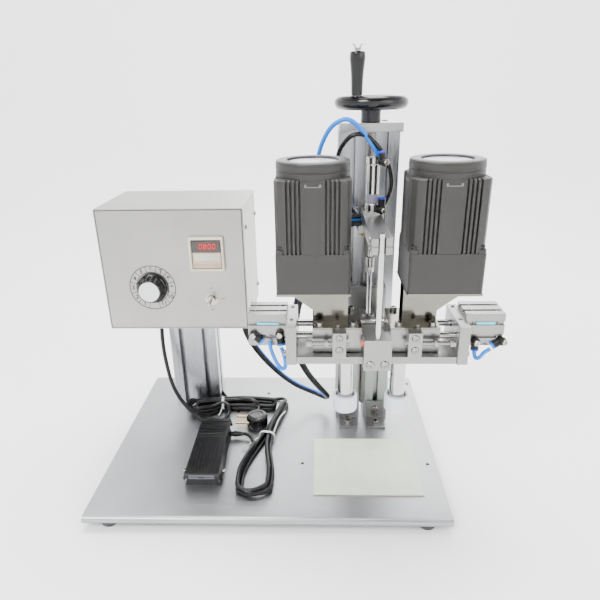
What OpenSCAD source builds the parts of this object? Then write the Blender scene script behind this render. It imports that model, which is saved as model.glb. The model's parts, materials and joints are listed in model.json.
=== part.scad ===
// Desk capping machine: two motor-driven grip rollers on a height-adjustable head,
// a control box on its own column, a foot pedal and their cords.
// Lengths are in millimetres. +Z is up, +X is to the operator's right, -Y faces the operator.
// The origin is on the surface the feet stand on, under the middle of the machine's outline.

/* [Base plate] */
// Width of the base plate
plate_w = 500; // [480:1:560]
// Depth of the base plate, front to back
plate_d = 374; // [360:1:420]
// Thickness of the base plate
plate_t = 12; // [10:0.5:16]
// Height of the rubber feet
foot_h = 10; // [8:0.5:15]
// Side of the bottle pad, left to right
pad_w = 156; // [120:1:176]
// Side of the bottle pad, front to back
pad_d = 127; // [100:1:130]
// Thickness of the bottle pad
pad_t = 3; // [2:0.5:6]
// Distance between the two fixture holes beside the pad
fixture_pitch = 190; // [180:1:200]

/* [Columns] */
// Side of one T-slot profile
profile_w = 40; // [40:1:40]
// Gap between the two profiles of the main column
column_gap = 7; // [6:0.5:8]
// Height of the main column profiles
column_h = 476; // [470:1:520]
// Thickness of the plate on top of the main column
top_plate_t = 12; // [10:1:16]
// Height of the control box column
box_column_h = 380; // [300:1:386]

/* [Control box] */
// Width of the control box
box_w = 200; // [190:1:210]
// Depth of the control box without its front panel
box_d = 132; // [110:1:140]
// Height of the control box
box_h = 174; // [160:1:180]
// Height of the underside of the control box above the base plate
box_z = 214; // [200:1:230]
// Side of the square timer bezel
timer_w = 48; // [48:1:48]
// Diameter of the torque knob
knob_d = 42; // [36:1:46]

/* [Head] */
// Middle of the head, measured from the middle of the base plate
head_x = 144.5; // [140:0.5:150]
// Distance from the middle of the head to a roller axis
roller_offset = 36; // [34:0.5:36]
// Diameter of a grip roller
roller_d = 34; // [30:0.5:34]
// Height of a grip roller
roller_h = 24; // [20:1:26]
// Side of the square gearheads and motors
motor_w = 90; // [88:0.5:90]
// Height of the finned part of a motor
motor_h = 86; // [80:1:100]
// Number of teeth on each gear of the roller drives
gear_teeth = 20; // [20:1:20]
// Pitch circle diameter of the gears
gear_pitch_d = 25; // [25:1:25]
// Length of the compact grip cylinders
grip_cylinder_l = 50; // [40:1:50]
// Side of the square grip cylinders
grip_cylinder_w = 44; // [36:1:44]

/* [Handwheel] */
// Diameter of the handwheel
wheel_d = 100; // [90:1:110]
// Diameter of the lead screw
screw_d = 10; // [10:1:10]

/* [Foot pedal] */
// Width of the pedal across its skirts
pedal_w = 60; // [60:1:62]
// Length of the pedal tread
pedal_l = 131; // [125:1:135]

/* [Hidden] */
$fn = 64;

pad_x = 141.5;                                      // middle of the bottle pad
pad_front = -140;
fixture_y = -71.5;
// Everything is placed from the middle of the base plate's top face; this carries it to the origin.
end_plate_t = 13;
end_plate_x = 101;                                  // inner face, from the middle of the head
right_end_x = head_x + end_plate_x + end_plate_t + grip_cylinder_l;
origin_shift = -(right_end_x - plate_w / 2) / 2;
module at_plate() {
    translate([origin_shift, 0, foot_h + plate_t])
        children();
}
// The right half of the head is the mirror image of the left half.
module at_side(right) {
    if (right)
        translate([2 * head_x, 0, 0])
            mirror([1, 0, 0])
                children();
    else
        children();
}

// Main column and lead screw
column_y = 52;                                      // front face of the column
column_back = column_y + profile_w;
column_w = 2 * profile_w + column_gap;
screw_y = 40;
screw_low = 38;
screw_fit = 0.1;
gap = 0.3;                                          // clearance between pieces that move past each other
wheel_z = 514;
wheel_low = column_h + top_plate_t + gap;
rim_r = 9;
grip_low = wheel_z + rim_r + gap;
grip_h = 52;
grip_pin_r = 3;
grip_angle = 237;
bearing_r = 11;

// Control box and its column
box_x = -228;                                       // left side
box_y = -40;                                        // front of the shell
box_back = box_y + box_d;
box_wall = 1.5;
panel_t = 3;
box_column_x = -186;
knob_x = -160;
knob_z = 277;
timer_x = -79.5;
timer_z = 326;
toggle_x = -78;
toggle_z = 260;
shaft_r = 3;

// Head
bar_low = 206.5;
bar_t = 10;
bar_top = bar_low + bar_t;
bar_front = -135;
bar_back = -57;
spindle_y = -89;
rod_z = 235;
rod_r = 4;
rod_ys = [-110, -68];
front_rod_y = -142;
front_rod_top = 378.5;
press_y = -16;
press_rod_r = 3;
arm_low = 354;
arm_t = 19;
arm_w = 24;
lift_low = 335;
lift_h = 44;
lift_w = 28;
slide_front = 26;                                   // front face of the lift and guide blocks
grip_axis_z = 243;
grip_rod_r = 4;

// Carriages; x values are for the left one
block_x = [64, 126.5];
block_y = [-122, -57];
block_low = bar_top + 1;
block_top = 248;
flange_t = 3;
gearhead_low = 301;
gearhead_top = 351;
spindle_x = head_x - roller_offset;
drive_x = spindle_x - gear_pitch_d;
motor_x = drive_x - 18;                             // the output shaft is 18 mm off the motor's middle
gear_low = 225;
gear_h = 14;
roller_low = 112;
sleeve_r = 10.5;
spindle_r = 5;
stop_y = -131;
stop_z = 234;

// Pedal
pedal_x = -127;
pedal_mid = pedal_x + pedal_w / 2;
pedal_base_w = pedal_w - 11;
pedal_back = 5;
pedal_front = pedal_back - pedal_l;
pedal_pivot = [-104, 11];
pedal_side = 2.5;
pedal_base_h = 13;

// Cords. The mains cord's hank lies behind the pedal, the pedal cord's hank beside it.
mains_r = 3.3;
pedal_cord_r = 2.8;
hose_r = 8;
// Along each hank: x, y and half-width
mains_hank = [[-136, 66, 16], [-118, 70, 15], [-100, 77, 10], [-70, 80, 10], [-40, 79, 10], [-12, 76, 9]];
mains_hank_h = 19.8;
pedal_hank = [
    [-21, -123, 27], [-21, -100, 27], [-20, -72, 22], [-17, -42, 15], [-9, 0, 9], [1, 40, 8], [10, 78, 8]
];
pedal_hank_h = 16.8;
mains_exit = [-190, 66, box_z - 16];
mains_route = [
    mains_exit, [-190, 66, 184], [-190, 66, 163], [-191, 66, 142], [-190, 64, 120], [-187, 61, 96],
    [-182, 56, 73], [-174, 50, 53], [-162, 44, 35], [-147, 38, 20], [-132, 32, 9], [-120, 28, 4],
    [-110, 27, mains_r], [-101, 29, mains_r], [-93, 35, 4], [-88, 44, 5], [-86, 56, 6], [-86, 68, 7]
];
mains_tail_route = [[-34, 68.5, 10], [-34.5, 61.5, 10], [-34, 52, 12], [-33, 44.2, 12]];
plug_place = [-32.5, 26, 0];
pedal_exit = [-53, -9, 8];
pedal_route = [pedal_exit, [-48.5, -9, 8], [-42.5, -13, 8], [-37.5, -20, 8], [-34.5, -28, 8], [-32, -34.4, 8]];
pedal_inlet = [-92, 84, box_z - 16];
// From the hank along the floor, up the side slot of the box column and into the floor of the box
pedal_tail_route = [
    [11.8, 85.9, 8], [12, 94, 7], [7, 102, 5], [-4, 105, 3], [-20, 102, pedal_cord_r],
    [-38, 99, pedal_cord_r], [-56, 98, pedal_cord_r], [-74, 99, pedal_cord_r], [-88, 103, pedal_cord_r],
    [-98, 108.5, 4], [-104.5, 111.7, 10], [-109.5, 112, 20], [-111.5, 112, 33], [-111.5, 112, 54],
    [-111.5, 112, 75], [-111.5, 112, 96], [-111.5, 112, 117], [-111.5, 112, 138], [-109, 112, 153],
    [-102.5, 109.5, 166], [-96, 101, 176], [-92, 88, 187], pedal_inlet
];
hose_route = [
    [-50, 78, box_z - 14], [-50, 78, 186], [-51, 80, 168], [-48, 81, 150], [-40, 82, 130], [-26, 84, 106],
    [-9, 86, 83], [11, 88, 61], [33, 90, 43], [54, 92, 31], [70, 90, 25], [80, 83, 24], [85, 73, 28],
    [84, 63, 37], [77, 56, 50], [65, 51, 68], [54, 47, 86], [45, 43, 105], [38, 39, 126], [34, 33, 150],
    [33, 26, 176], [35, 19, 204], [40, 12, 232], [48, 6, 260], [60, 1, 286], [74, -1, 312],
    [88, -2, 336], [104, -2, 353], [118, -2, 361], [131.9, -2, 362]
];

// A tube of the given radius and number of sides along a list of points.
function unit(v) = v / norm(v);
function tangent(p, i) =
    unit(p[min(i + 1, len(p) - 1)] - p[max(i - 1, 0)]);
// Start with any side direction, then carry it along so that the tube doesn't twist.
function first_side(t) = unit(cross(t, abs(t[2]) < 0.9 ? [0, 0, 1] : [1, 0, 0]));
function carried(s, t) = unit(s - t * (s * t));
function sides_along(p, i = 0, s = undef, out = []) =
    i == len(p) ? out :
    let (t = tangent(p, i), n = i == 0 ? first_side(t) : carried(s, t))
    sides_along(p, i + 1, n, concat(out, [n]));
module tube_along(p, r, sides = 8) {
    side = sides_along(p);
    points = [
        for (i = [0:len(p) - 1])
            let (t = tangent(p, i), a = side[i], b = cross(t, a))
            for (k = [0:sides - 1])
                p[i] + r * (cos(360 * k / sides) * a + sin(360 * k / sides) * b)
    ];
    walls = [
        for (i = [0:len(p) - 2], k = [0:sides - 1])
            let (k2 = (k + 1) % sides)
            [i * sides + k, (i + 1) * sides + k, (i + 1) * sides + k2, i * sides + k2]
    ];
    start = [for (k = [0:sides - 1]) k];
    finish = [for (k = [sides - 1:-1:0]) (len(p) - 1) * sides + k];
    polyhedron(points, concat([start], walls, [finish]));
}

// A box given by its two corners.
module block(low, high) {
    translate(low)
        cube(high - low);
}
// A cylinder along X, Y or Z between two heights on that axis.
module rod_x(x0, x1, y, z, r) {
    translate([x0, y, z])
        rotate([0, 90, 0])
            cylinder(h = x1 - x0, r = r);
}
module rod_y(y0, y1, x, z, r) {
    translate([x, y1, z])
        rotate([90, 0, 0])
            cylinder(h = y1 - y0, r = r);
}
module rod_z(z0, z1, x, y, r) {
    translate([x, y, z0])
        cylinder(h = z1 - z0, r = r);
}
// A slot along X between two points, with round ends.
module round_ended(x0, x1, r) {
    for (x = [x0, x1])
        translate([x, 0])
            circle(r);
    translate([x0, -r])
        square([x1 - x0, 2 * r]);
}
// The outline of a hank: stations are [x, y, half-width] along its middle, and both ends are round.
function flat_tangent(s, i) =
    let (a = s[max(i - 1, 0)], b = s[min(i + 1, len(s) - 1)], d = [b[0] - a[0], b[1] - a[1]])
    d / norm(d);
function station_point(s, i, turn) =
    let (t = flat_tangent(s, i), a = atan2(t[1], t[0]) + turn)
    [s[i][0], s[i][1]] + s[i][2] * [cos(a), sin(a)];
module hank_outline(s) {
    last = len(s) - 1;
    polygon(concat(
        [for (i = [0:last]) station_point(s, i, -90)],
        [for (turn = [-75:15:75]) station_point(s, last, turn)],
        [for (i = [last:-1:0]) station_point(s, i, 90)],
        [for (turn = [105:15:255]) station_point(s, 0, turn)]
    ));
}

// ---- Base ----
module base_plate() {
    color("silver")
        at_plate()
            difference() {
                // The front edge is rounded over its full thickness.
                translate([-plate_w / 2, 0, 0])
                    rotate([90, 0, 90])
                        linear_extrude(plate_w) {
                            translate([-plate_d / 2 + plate_t / 2, -plate_t])
                                square([plate_d - plate_t / 2, plate_t]);
                            translate([-plate_d / 2 + plate_t / 2, -plate_t / 2])
                                circle(plate_t / 2);
                        }
                for (side = [-1, 1])
                    rod_z(-plate_t - 1, 1, pad_x + side * fixture_pitch / 2, fixture_y, 2.5);
            }
}
module rubber_feet() {
    color("dimgray")
        at_plate()
            for (x = [-218, 218], y = [-170, 165])
                translate([x, y, -plate_t - foot_h])
                    cylinder(h = foot_h, r1 = 11, r2 = 12.5);
}
module bottle_pad() {
    color("cornsilk")
        at_plate()
            translate([pad_x - pad_w / 2, pad_front, 0])
                cube([pad_w, pad_d, pad_t]);
}

// ---- Columns ----
// Cross-section of a T-slot profile, `wide` cells of 40 mm wide.
module profile_section(wide = 1) {
    slot_w = 8;
    difference() {
        square([wide * profile_w, profile_w]);
        for (i = [0:wide - 1]) {
            for (y = [0, 1])
                translate([(i + 0.5) * profile_w, y * profile_w])
                    mirror([0, y])
                        t_slot(slot_w);
            translate([(i + 0.5) * profile_w, profile_w / 2])
                circle(3.4);
        }
        for (x = [0, 1])
            translate([x * wide * profile_w, profile_w / 2])
                mirror([x, 0])
                    rotate(-90)
                        t_slot(slot_w);
    }
}
// One slot, opening at y = 0 and running into +Y.
module t_slot(slot_w) {
    polygon([
        [-slot_w / 2, -1], [slot_w / 2, -1], [slot_w / 2, 4.5], [slot_w, 4.5], [slot_w, 7],
        [slot_w / 2, 12], [-slot_w / 2, 12], [-slot_w, 7], [-slot_w, 4.5], [-slot_w / 2, 4.5]
    ]);
}
module main_column() {
    color("gainsboro")
        at_plate()
            for (x = [head_x - column_w / 2, head_x + column_gap / 2])
                translate([x, column_y, 0])
                    linear_extrude(column_h)
                        profile_section();
}
module column_top_plate() {
    color("silver")
        at_plate()
            difference() {
                block([head_x - column_w / 2, 24, column_h],
                      [head_x + column_w / 2, column_back + 1, column_h + top_plate_t]);
                rod_z(column_h - 1, column_h + top_plate_t + 1, head_x, screw_y, bearing_r);
            }
}
module screw_bearing() {
    color("darkgray")
        at_plate()
            difference() {
                rod_z(column_h, column_h + top_plate_t, head_x, screw_y, bearing_r);
                rod_z(column_h - 1, column_h + top_plate_t + 1, head_x, screw_y, screw_d / 2 + screw_fit / 2);
            }
}
// An angle bracket, its upright against x = 0 and its foot running into +X.
module angle_bracket() {
    size = 34;
    thick = 4;
    difference() {
        union() {
            cube([size, 30, thick]);
            cube([thick, 30, size]);
        }
        rod_z(-1, thick + 1, 22, 15, 3.2);
        rod_x(-1, thick + 1, 15, 22, 3.2);
    }
}
module foot_brackets() {
    color("lightgray")
        at_plate() {
            for (side = [0, 1])
                at_side(side == 1)
                    translate([head_x - column_w / 2 + 5, 0, 0]) {
                        translate([0, column_y, 0])
                            rotate(-90)
                                angle_bracket();
                        translate([30, column_back, 0])
                            rotate(90)
                                angle_bracket();
                    }
            for (x = [35, 2 * profile_w - 5])
                translate([box_column_x + x, box_back + profile_w, 0])
                    rotate(90)
                        angle_bracket();
        }
}
module box_column() {
    color("gainsboro")
        at_plate()
            translate([box_column_x, box_back, 0])
                linear_extrude(box_column_h)
                    profile_section(2);
}

// ---- Control box ----
module control_box() {
    color("lightgray")
        at_plate()
            difference() {
                union() {
                    block([box_x, box_y, box_z], [box_x + box_w, box_back, box_z + box_h]);
                    // Cord glands in the floor
                    rod_z(mains_exit[2], box_z + 1, mains_exit[0], mains_exit[1], 8);
                    rod_z(hose_route[0][2], box_z + 1, hose_route[0][0], hose_route[0][1], 13);
                    rod_z(pedal_inlet[2], box_z + 1, pedal_inlet[0], pedal_inlet[1], 7);
                }
                block([box_x + box_wall, box_y - 1, box_z + box_wall],
                      [box_x + box_w - box_wall, box_back - box_wall, box_z + box_h - box_wall]);
            }
}
module control_panel() {
    cut = timer_w - 3;
    color("gainsboro")
        at_plate()
            difference() {
                block([box_x, box_y - panel_t, box_z], [box_x + box_w, box_y, box_z + box_h]);
                block([timer_x - cut / 2, box_y - panel_t - 1, timer_z - cut / 2],
                      [timer_x + cut / 2, box_y + 1, timer_z + cut / 2]);
                rod_y(box_y - panel_t - 1, box_y + 1, knob_x, knob_z, 4);
                rod_y(box_y - panel_t - 1, box_y + 1, toggle_x, toggle_z, 6);
            }
}
module timer() {
    cut = timer_w - 3;
    front = box_y - panel_t;
    color("ivory")
        at_plate()
            difference() {
                union() {
                    block([timer_x - timer_w / 2, front - 6, timer_z - timer_w / 2],
                          [timer_x + timer_w / 2, front, timer_z + timer_w / 2]);
                    block([timer_x - cut / 2, front, timer_z - cut / 2],
                          [timer_x + cut / 2, front + 78, timer_z + cut / 2]);
                }
                block([timer_x - 20, front - 7, timer_z - 1],
                      [timer_x + 20, front - 4.5, timer_z + 20]);
            }
}
// The speed potentiometer and the toggle switch, clamped in the panel.
module panel_controls() {
    front = box_y - panel_t;
    color("silver")
        at_plate() {
            difference() {
                union() {
                    rod_y(box_y, box_y + 12, knob_x, knob_z, 12);
                    rod_y(front - 2, box_y, knob_x, knob_z, 4);
                }
                rod_y(front - 3, box_y + 13, knob_x, knob_z, shaft_r + screw_fit);
            }
            difference() {
                union() {
                    block([toggle_x - 7, box_y, toggle_z - 9], [toggle_x + 7, box_y + 24, toggle_z + 9]);
                    rod_y(front - 7, box_y, toggle_x, toggle_z, 6);
                    translate([toggle_x, front, toggle_z])
                        rotate([90, 0, 0])
                            cylinder(h = 3, r = 8.5, $fn = 6);
                }
                // The lever swings in this slot.
                block([toggle_x - 3, front - 8, toggle_z - 4.6], [toggle_x + 3, box_y + 4, toggle_z + 4.6]);
            }
        }
}
module torque_knob() {
    front = box_y - panel_t - 2.4;
    flutes = 24;
    color("black")
        at_plate()
            translate([knob_x, front, knob_z])
                rotate([90, 0, 0]) {
                    // Fluted skirt, plain cap and the shaft behind
                    difference() {
                        cylinder(h = 14, r = knob_d / 2);
                        for (i = [0:flutes - 1])
                            rotate(i * 360 / flutes)
                                translate([knob_d / 2 + 0.6, 0, -1])
                                    cylinder(h = 13, r = 1.8, $fn = 16);
                    }
                    translate([0, 0, 13])
                        cylinder(h = 3, r1 = knob_d / 2 - 2, r2 = knob_d / 2 - 4);
                    translate([0, 0, -16])
                        cylinder(h = 17, r = shaft_r);
                }
}
module toggle_lever() {
    color("white")
        at_plate()
            translate([toggle_x, box_y - 1, toggle_z])
                rotate([90, 0, 0]) {
                    cylinder(h = 24, r1 = 1.8, r2 = 2.8);
                    translate([0, 0, 24])
                        cylinder(h = 2, r1 = 2.8, r2 = 1.6);
                    // Cross pin that it tilts on
                    rod_x(-2.7, 2.7, 0, 0, 2.6);
                }
}
module control_board() {
    color("darkgreen")
        at_plate() {
            block([-215, 82, 235], [-100, 84, 315]);
            // Transformer and heat sink stand on the board, and four posts hold it off the back wall.
            block([-205, 52, 245], [-165, 82, 300]);
            block([-150, 60, 245], [-115, 82, 280]);
            for (x = [-210, -105], z = [240, 310])
                rod_y(84, box_back - box_wall, x, z, 3);
        }
}
module air_valves() {
    color("silver")
        at_plate()
            for (x = [-70, -48])
                block([x - 9, 5, box_z + box_wall], [x + 9, 50, 276]);
}

// ---- Foot pedal ----
// A bar along Y with this cross-section: `low_w` wide on the plate, leaning in on both sides.
module leaning_bar(low_w, y0, y1, height) {
    lean = 7 / 30;
    translate([pedal_mid, y1, 0])
        rotate([90, 0, 0])
            linear_extrude(y1 - y0)
                polygon([
                    [-low_w / 2, 0], [low_w / 2, 0],
                    [low_w / 2 - lean * height, height], [-low_w / 2 + lean * height, height]
                ]);
}
module pedal_base() {
    wall = 3;
    color("black")
        at_plate()
            difference() {
                union() {
                    difference() {
                        leaning_bar(pedal_base_w, pedal_front + 5, pedal_back - 3, pedal_base_h);
                        translate([0, 0, wall])
                            leaning_bar(pedal_base_w - 2 * wall - 1.4, pedal_front + 5 + wall,
                                        pedal_back - 3 - wall, pedal_base_h);
                    }
                    // Ears that hold the hinge pin
                    for (x = [pedal_mid - 22, pedal_mid + 17])
                        rod_x(x, x + 5, pedal_pivot[0], pedal_pivot[1], 6);
                    // Toe end switch under the tread
                    block([pedal_mid - 7, -40, wall - 1], [pedal_mid + 7, -15, 9]);
                }
                rod_x(pedal_x - 1, pedal_x + pedal_w + 1, pedal_pivot[0], pedal_pivot[1], 2.5);
                rod_x(pedal_mid + 20, pedal_x + pedal_w + 1, pedal_exit[1], pedal_exit[2], 4);
            }
}
module pedal_tread() {
    slope = atan2(8, pedal_l - 6);
    heel_z = 20;
    color("black")
        at_plate()
            difference() {
                intersection() {
                    translate([pedal_x, 0, 0])
                        rotate([90, 0, 90])
                            linear_extrude(pedal_w)
                                polygon([
                                    [pedal_front, heel_z - 2], [pedal_front + 3, heel_z + 2],
                                    [pedal_back - 3, heel_z + 10], [pedal_back, heel_z + 8],
                                    [pedal_back, heel_z - 4], [pedal_back - 4, heel_z - 4], [-1, heel_z + 3],
                                    [-24, heel_z + 3], [-34, 14.5], [-88, 8], [pedal_front + 8, 6.5],
                                    [pedal_front + 1, heel_z - 4]
                                ]);
                    leaning_bar(pedal_w, pedal_front - 1, pedal_back + 1, 40);
                }
                // Hollow under the top, open downwards
                intersection() {
                    translate([pedal_x, 0, 0])
                        rotate([90, 0, 90])
                            linear_extrude(pedal_w)
                                polygon([
                                    [pedal_front + 3, heel_z - 3.5], [pedal_front + 3, 0], [pedal_back - 2.5, 0],
                                    [pedal_back - 2.5, heel_z + 5.8]
                                ]);
                    leaning_bar(pedal_w - 2 * pedal_side, pedal_front - 1, pedal_back + 1, 40);
                }
                rod_x(pedal_x - 1, pedal_x + pedal_w + 1, pedal_pivot[0], pedal_pivot[1], 2.55);
                translate([pedal_mid, pedal_front + 3, heel_z + 2])
                    rotate([slope, 0, 0]) {
                        // Grooves across the toe end
                        for (i = [0:5])
                            translate([-21, pedal_l - 15 - 6 * i, -1])
                                cube([42, 2.4, 4]);
                        // Grooves along the rest
                        for (i = [-4:4])
                            translate([5 * i - 1.2, 6, -1])
                                cube([2.4, pedal_l - 56, 4]);
                    }
            }
}
module pedal_pin() {
    color("silver")
        at_plate()
            rod_x(pedal_x - 0.5, pedal_x + pedal_w + 0.5, pedal_pivot[0], pedal_pivot[1], 2.5);
}
module pedal_spring() {
    color("gray")
        at_plate()
            difference() {
                rod_x(pedal_mid - 12, pedal_mid + 12, pedal_pivot[0], pedal_pivot[1], 4.6);
                rod_x(pedal_mid - 13, pedal_mid + 13, pedal_pivot[0], pedal_pivot[1], 2.9);
            }
}
module pedal_gland() {
    // A bush in the wall, a straight sleeve and a tapered boot
    inner = pedal_mid + 20;
    color("black")
        at_plate() {
            rod_x(inner, pedal_exit[0] - 10, pedal_exit[1], pedal_exit[2], 4);
            translate([pedal_exit[0] - 10, pedal_exit[1], pedal_exit[2]])
                rotate([0, 90, 0])
                    cylinder(h = 10, r1 = 5, r2 = 3.4);
        }
}

// ---- Cords ----
module pedal_cord() {
    color("black")
        at_plate() {
            tube_along(pedal_route, pedal_cord_r);
            tube_along(pedal_tail_route, pedal_cord_r);
        }
}
module pedal_cord_hank() {
    color("black")
        at_plate()
            linear_extrude(pedal_hank_h)
                hank_outline(pedal_hank);
}
module mains_cord() {
    color("black")
        at_plate() {
            tube_along(mains_route, mains_r);
            tube_along(mains_tail_route, mains_r);
        }
}
module mains_cord_hank() {
    color("black")
        at_plate()
            linear_extrude(mains_hank_h)
                hank_outline(mains_hank);
}
// Round plug lying on its flat side, with its two pins pointing left.
module mains_plug() {
    color("black")
        at_plate()
            translate(plug_place) {
                rod_z(0, 24, 0, 0, 18);
                for (y = [-9.5, 9.5])
                    rod_x(-37, -17, y, 12, 2.4);
            }
}
module service_hose() {
    color("black")
        at_plate()
            tube_along(hose_route, hose_r, 10);
}

// ---- Lead screw and handwheel ----
module lead_screw() {
    color("dimgray")
        at_plate() {
            translate([head_x, screw_y, screw_low])
                cylinder(h = 3, r1 = screw_d / 2 - 2.5, r2 = screw_d / 2);
            rod_z(screw_low + 3, wheel_z + 8, head_x, screw_y, screw_d / 2);
            rod_z(column_h - gap - 8, column_h - gap, head_x, screw_y, 8);
        }
}
module handwheel() {
    ring = wheel_d / 2 - rim_r;
    color("black")
        at_plate()
            translate([head_x, screw_y, 0]) {
                difference() {
                    union() {
                        translate([0, 0, wheel_low])
                            cylinder(h = wheel_z + 6 - wheel_low, r1 = 14, r2 = 17);
                        for (i = [0:2])
                            rotate(grip_angle + 120 * i)
                                rod_x(10, ring, 0, wheel_z, 6);
                        translate([0, 0, wheel_z])
                            rotate_extrude()
                                translate([ring, 0])
                                    circle(rim_r, $fn = 32);
                    }
                    translate([0, 0, wheel_low - 1])
                        cylinder(h = 60, r = screw_d / 2);
                }
                // Pin for the revolving grip, closed by a split pin
                rotate(grip_angle)
                    translate([ring, 0, 0]) {
                        rod_z(wheel_z, grip_low + grip_h + 4, 0, 0, grip_pin_r);
                        for (side = [-1, 1])
                            translate([side * 2.5, 0, grip_low + grip_h + 2])
                                rotate([0, side * 25, 0])
                                    translate([-0.8, -1.5, 0])
                                        cube([1.6, 3, 7]);
                    }
            }
}
module handwheel_grip() {
    ring = wheel_d / 2 - rim_r;
    color("black")
        at_plate()
            translate([head_x, screw_y, grip_low])
                rotate(grip_angle)
                    translate([ring, 0, 0])
                        rotate_extrude()
                            polygon([
                                [grip_pin_r + 0.08, 0], [7, 0], [7.5, 3], [8, 20], [10, 38], [9.6, 46],
                                [7.5, 50.5], [5, grip_h], [grip_pin_r + 0.08, grip_h]
                            ]);
}

// ---- Lift: rides on the lead screw ----
module lift_block() {
    color("silver")
        at_plate()
            difference() {
                block([head_x - lift_w / 2, slide_front, lift_low],
                      [head_x + lift_w / 2, column_y - gap, lift_low + lift_h]);
                rod_z(lift_low - 1, lift_low + lift_h + 1, head_x, screw_y, 9);
            }
}
module lead_nut() {
    color("goldenrod")
        at_plate()
            difference() {
                union() {
                    rod_z(lift_low, lift_low + lift_h, head_x, screw_y, 9);
                    rod_z(lift_low - 6, lift_low, head_x, screw_y, 11.5);
                }
                rod_z(lift_low - 7, lift_low + lift_h + 1, head_x, screw_y, screw_d / 2 + screw_fit);
            }
}
// A tongue through the gap in the column, with a plate behind.
module column_clamp(z0, z1) {
    half = column_gap / 2 - gap;
    block([head_x - half, column_y - gap, z0], [head_x + half, column_back + gap, z1]);
    block([head_x - 18, column_back + gap, z0], [head_x + 18, column_back + gap + 6, z1]);
}
module lift_clamp() {
    color("silver")
        at_plate()
            column_clamp(lift_low + 2, lift_low + lift_h - 2);
}
module lift_arm() {
    front = front_rod_y - rod_r;
    color("silver")
        at_plate()
            difference() {
                block([head_x - arm_w / 2, front, arm_low], [head_x + arm_w / 2, slide_front, arm_low + arm_t]);
                // Open fork round the front guide rod
                rod_z(arm_low - 1, arm_low + arm_t + 1, head_x, front_rod_y, rod_r + gap);
                block([head_x - rod_r - gap, front - 1, arm_low - 1],
                      [head_x + rod_r + gap, front_rod_y, arm_low + arm_t + 1]);
                rod_z(arm_low - 1, arm_low + arm_t + 1, head_x, press_y, press_rod_r + gap);
            }
}
module press_cylinder() {
    low = arm_low + arm_t;
    color("silver")
        at_plate()
            difference() {
                union() {
                    rod_z(low, low + 14, head_x, press_y, 9.5);
                    rod_z(low + 14, low + 66, head_x, press_y, 8.5);
                    rod_z(low + 66, low + 76, head_x, press_y, 9.5);
                }
                rod_z(low - 1, low + 66, head_x, press_y, press_rod_r + gap);
            }
}

// ---- Head: hangs from the press cylinder ----
module head_plate() {
    slot_reach = 13.5;
    color("silver")
        at_plate()
            difference() {
                union() {
                    block([head_x - end_plate_x, bar_front, bar_low], [head_x + end_plate_x, bar_back, bar_top]);
                    block([head_x - 24, bar_back - 1, bar_low], [head_x + 24, slide_front, bar_top]);
                }
                // Each spindle slides in its own slot.
                for (side = [0, 1])
                    at_side(side == 1)
                        translate([spindle_x, spindle_y, bar_low - 1])
                            linear_extrude(bar_t + 2)
                                round_ended(-slot_reach, slot_reach, sleeve_r + 1.5);
            }
}
module end_plates() {
    color("silver")
        at_plate()
            for (side = [0, 1])
                at_side(side == 1)
                    difference() {
                        block([head_x - end_plate_x - end_plate_t, -137, bar_low],
                              [head_x - end_plate_x, -60, 258]);
                        for (y = rod_ys)
                            rod_x(0, 60, y, rod_z, rod_r);
                        rod_x(0, 60, spindle_y, grip_axis_z, grip_rod_r + 1);
                    }
}
// Two rods across the head for the carriages and one upright rod for the arm's fork.
module guide_rods() {
    color("white")
        at_plate() {
            for (y = rod_ys)
                rod_x(head_x - end_plate_x - end_plate_t, head_x + end_plate_x + end_plate_t, y, rod_z, rod_r);
            rod_z(bar_low + 39.5, front_rod_top, head_x, front_rod_y, rod_r);
        }
}
module centre_block() {
    top = bar_low + 39.5;
    color("silver")
        at_plate() {
            block([head_x - 17, -149, bar_low - 2], [head_x + 17, bar_front, top]);
            block([head_x - 17, bar_front, bar_top], [head_x + 17, -122.5, top]);
            // Rubber bumpers for the stop screws
            rod_x(head_x - 19.5, head_x + 19.5, stop_y, stop_z, 4);
        }
}
module press_rod() {
    color("silver")
        at_plate() {
            rod_z(bar_top, arm_low + arm_t + 60, head_x, press_y, press_rod_r);
            rod_z(290, 312, head_x, press_y, 6);
            rod_z(bar_top, bar_top + 8, head_x, press_y, 8);
        }
}
module head_guide_block() {
    high = bar_low + 44;
    color("silver")
        at_plate()
            difference() {
                union() {
                    block([head_x - 30, slide_front, bar_low], [head_x + 30, column_y - gap, high]);
                    column_clamp(bar_low + 2, high - 2);
                }
                rod_z(bar_low - 1, high + 1, head_x, screw_y, screw_d / 2 + 2);
            }
}
module grip_cylinders() {
    outer = head_x - end_plate_x - end_plate_t;
    half = grip_cylinder_w / 2;
    color("silver")
        at_plate()
            for (side = [0, 1])
                at_side(side == 1)
                    difference() {
                        translate([outer - grip_cylinder_l, spindle_y, grip_axis_z])
                            rotate([90, 0, 90])
                                linear_extrude(grip_cylinder_l)
                                    difference() {
                                        square(2 * half, center = true);
                                        // Sensor grooves on each side
                                        for (a = [0:90:270], off = [-9, 9])
                                            rotate(a)
                                                translate([off, half])
                                                    square([5, 7], center = true);
                                    }
                        rod_x(outer - grip_cylinder_l + 8, outer + 1, spindle_y, grip_axis_z, grip_rod_r + gap);
                    }
}

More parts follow.
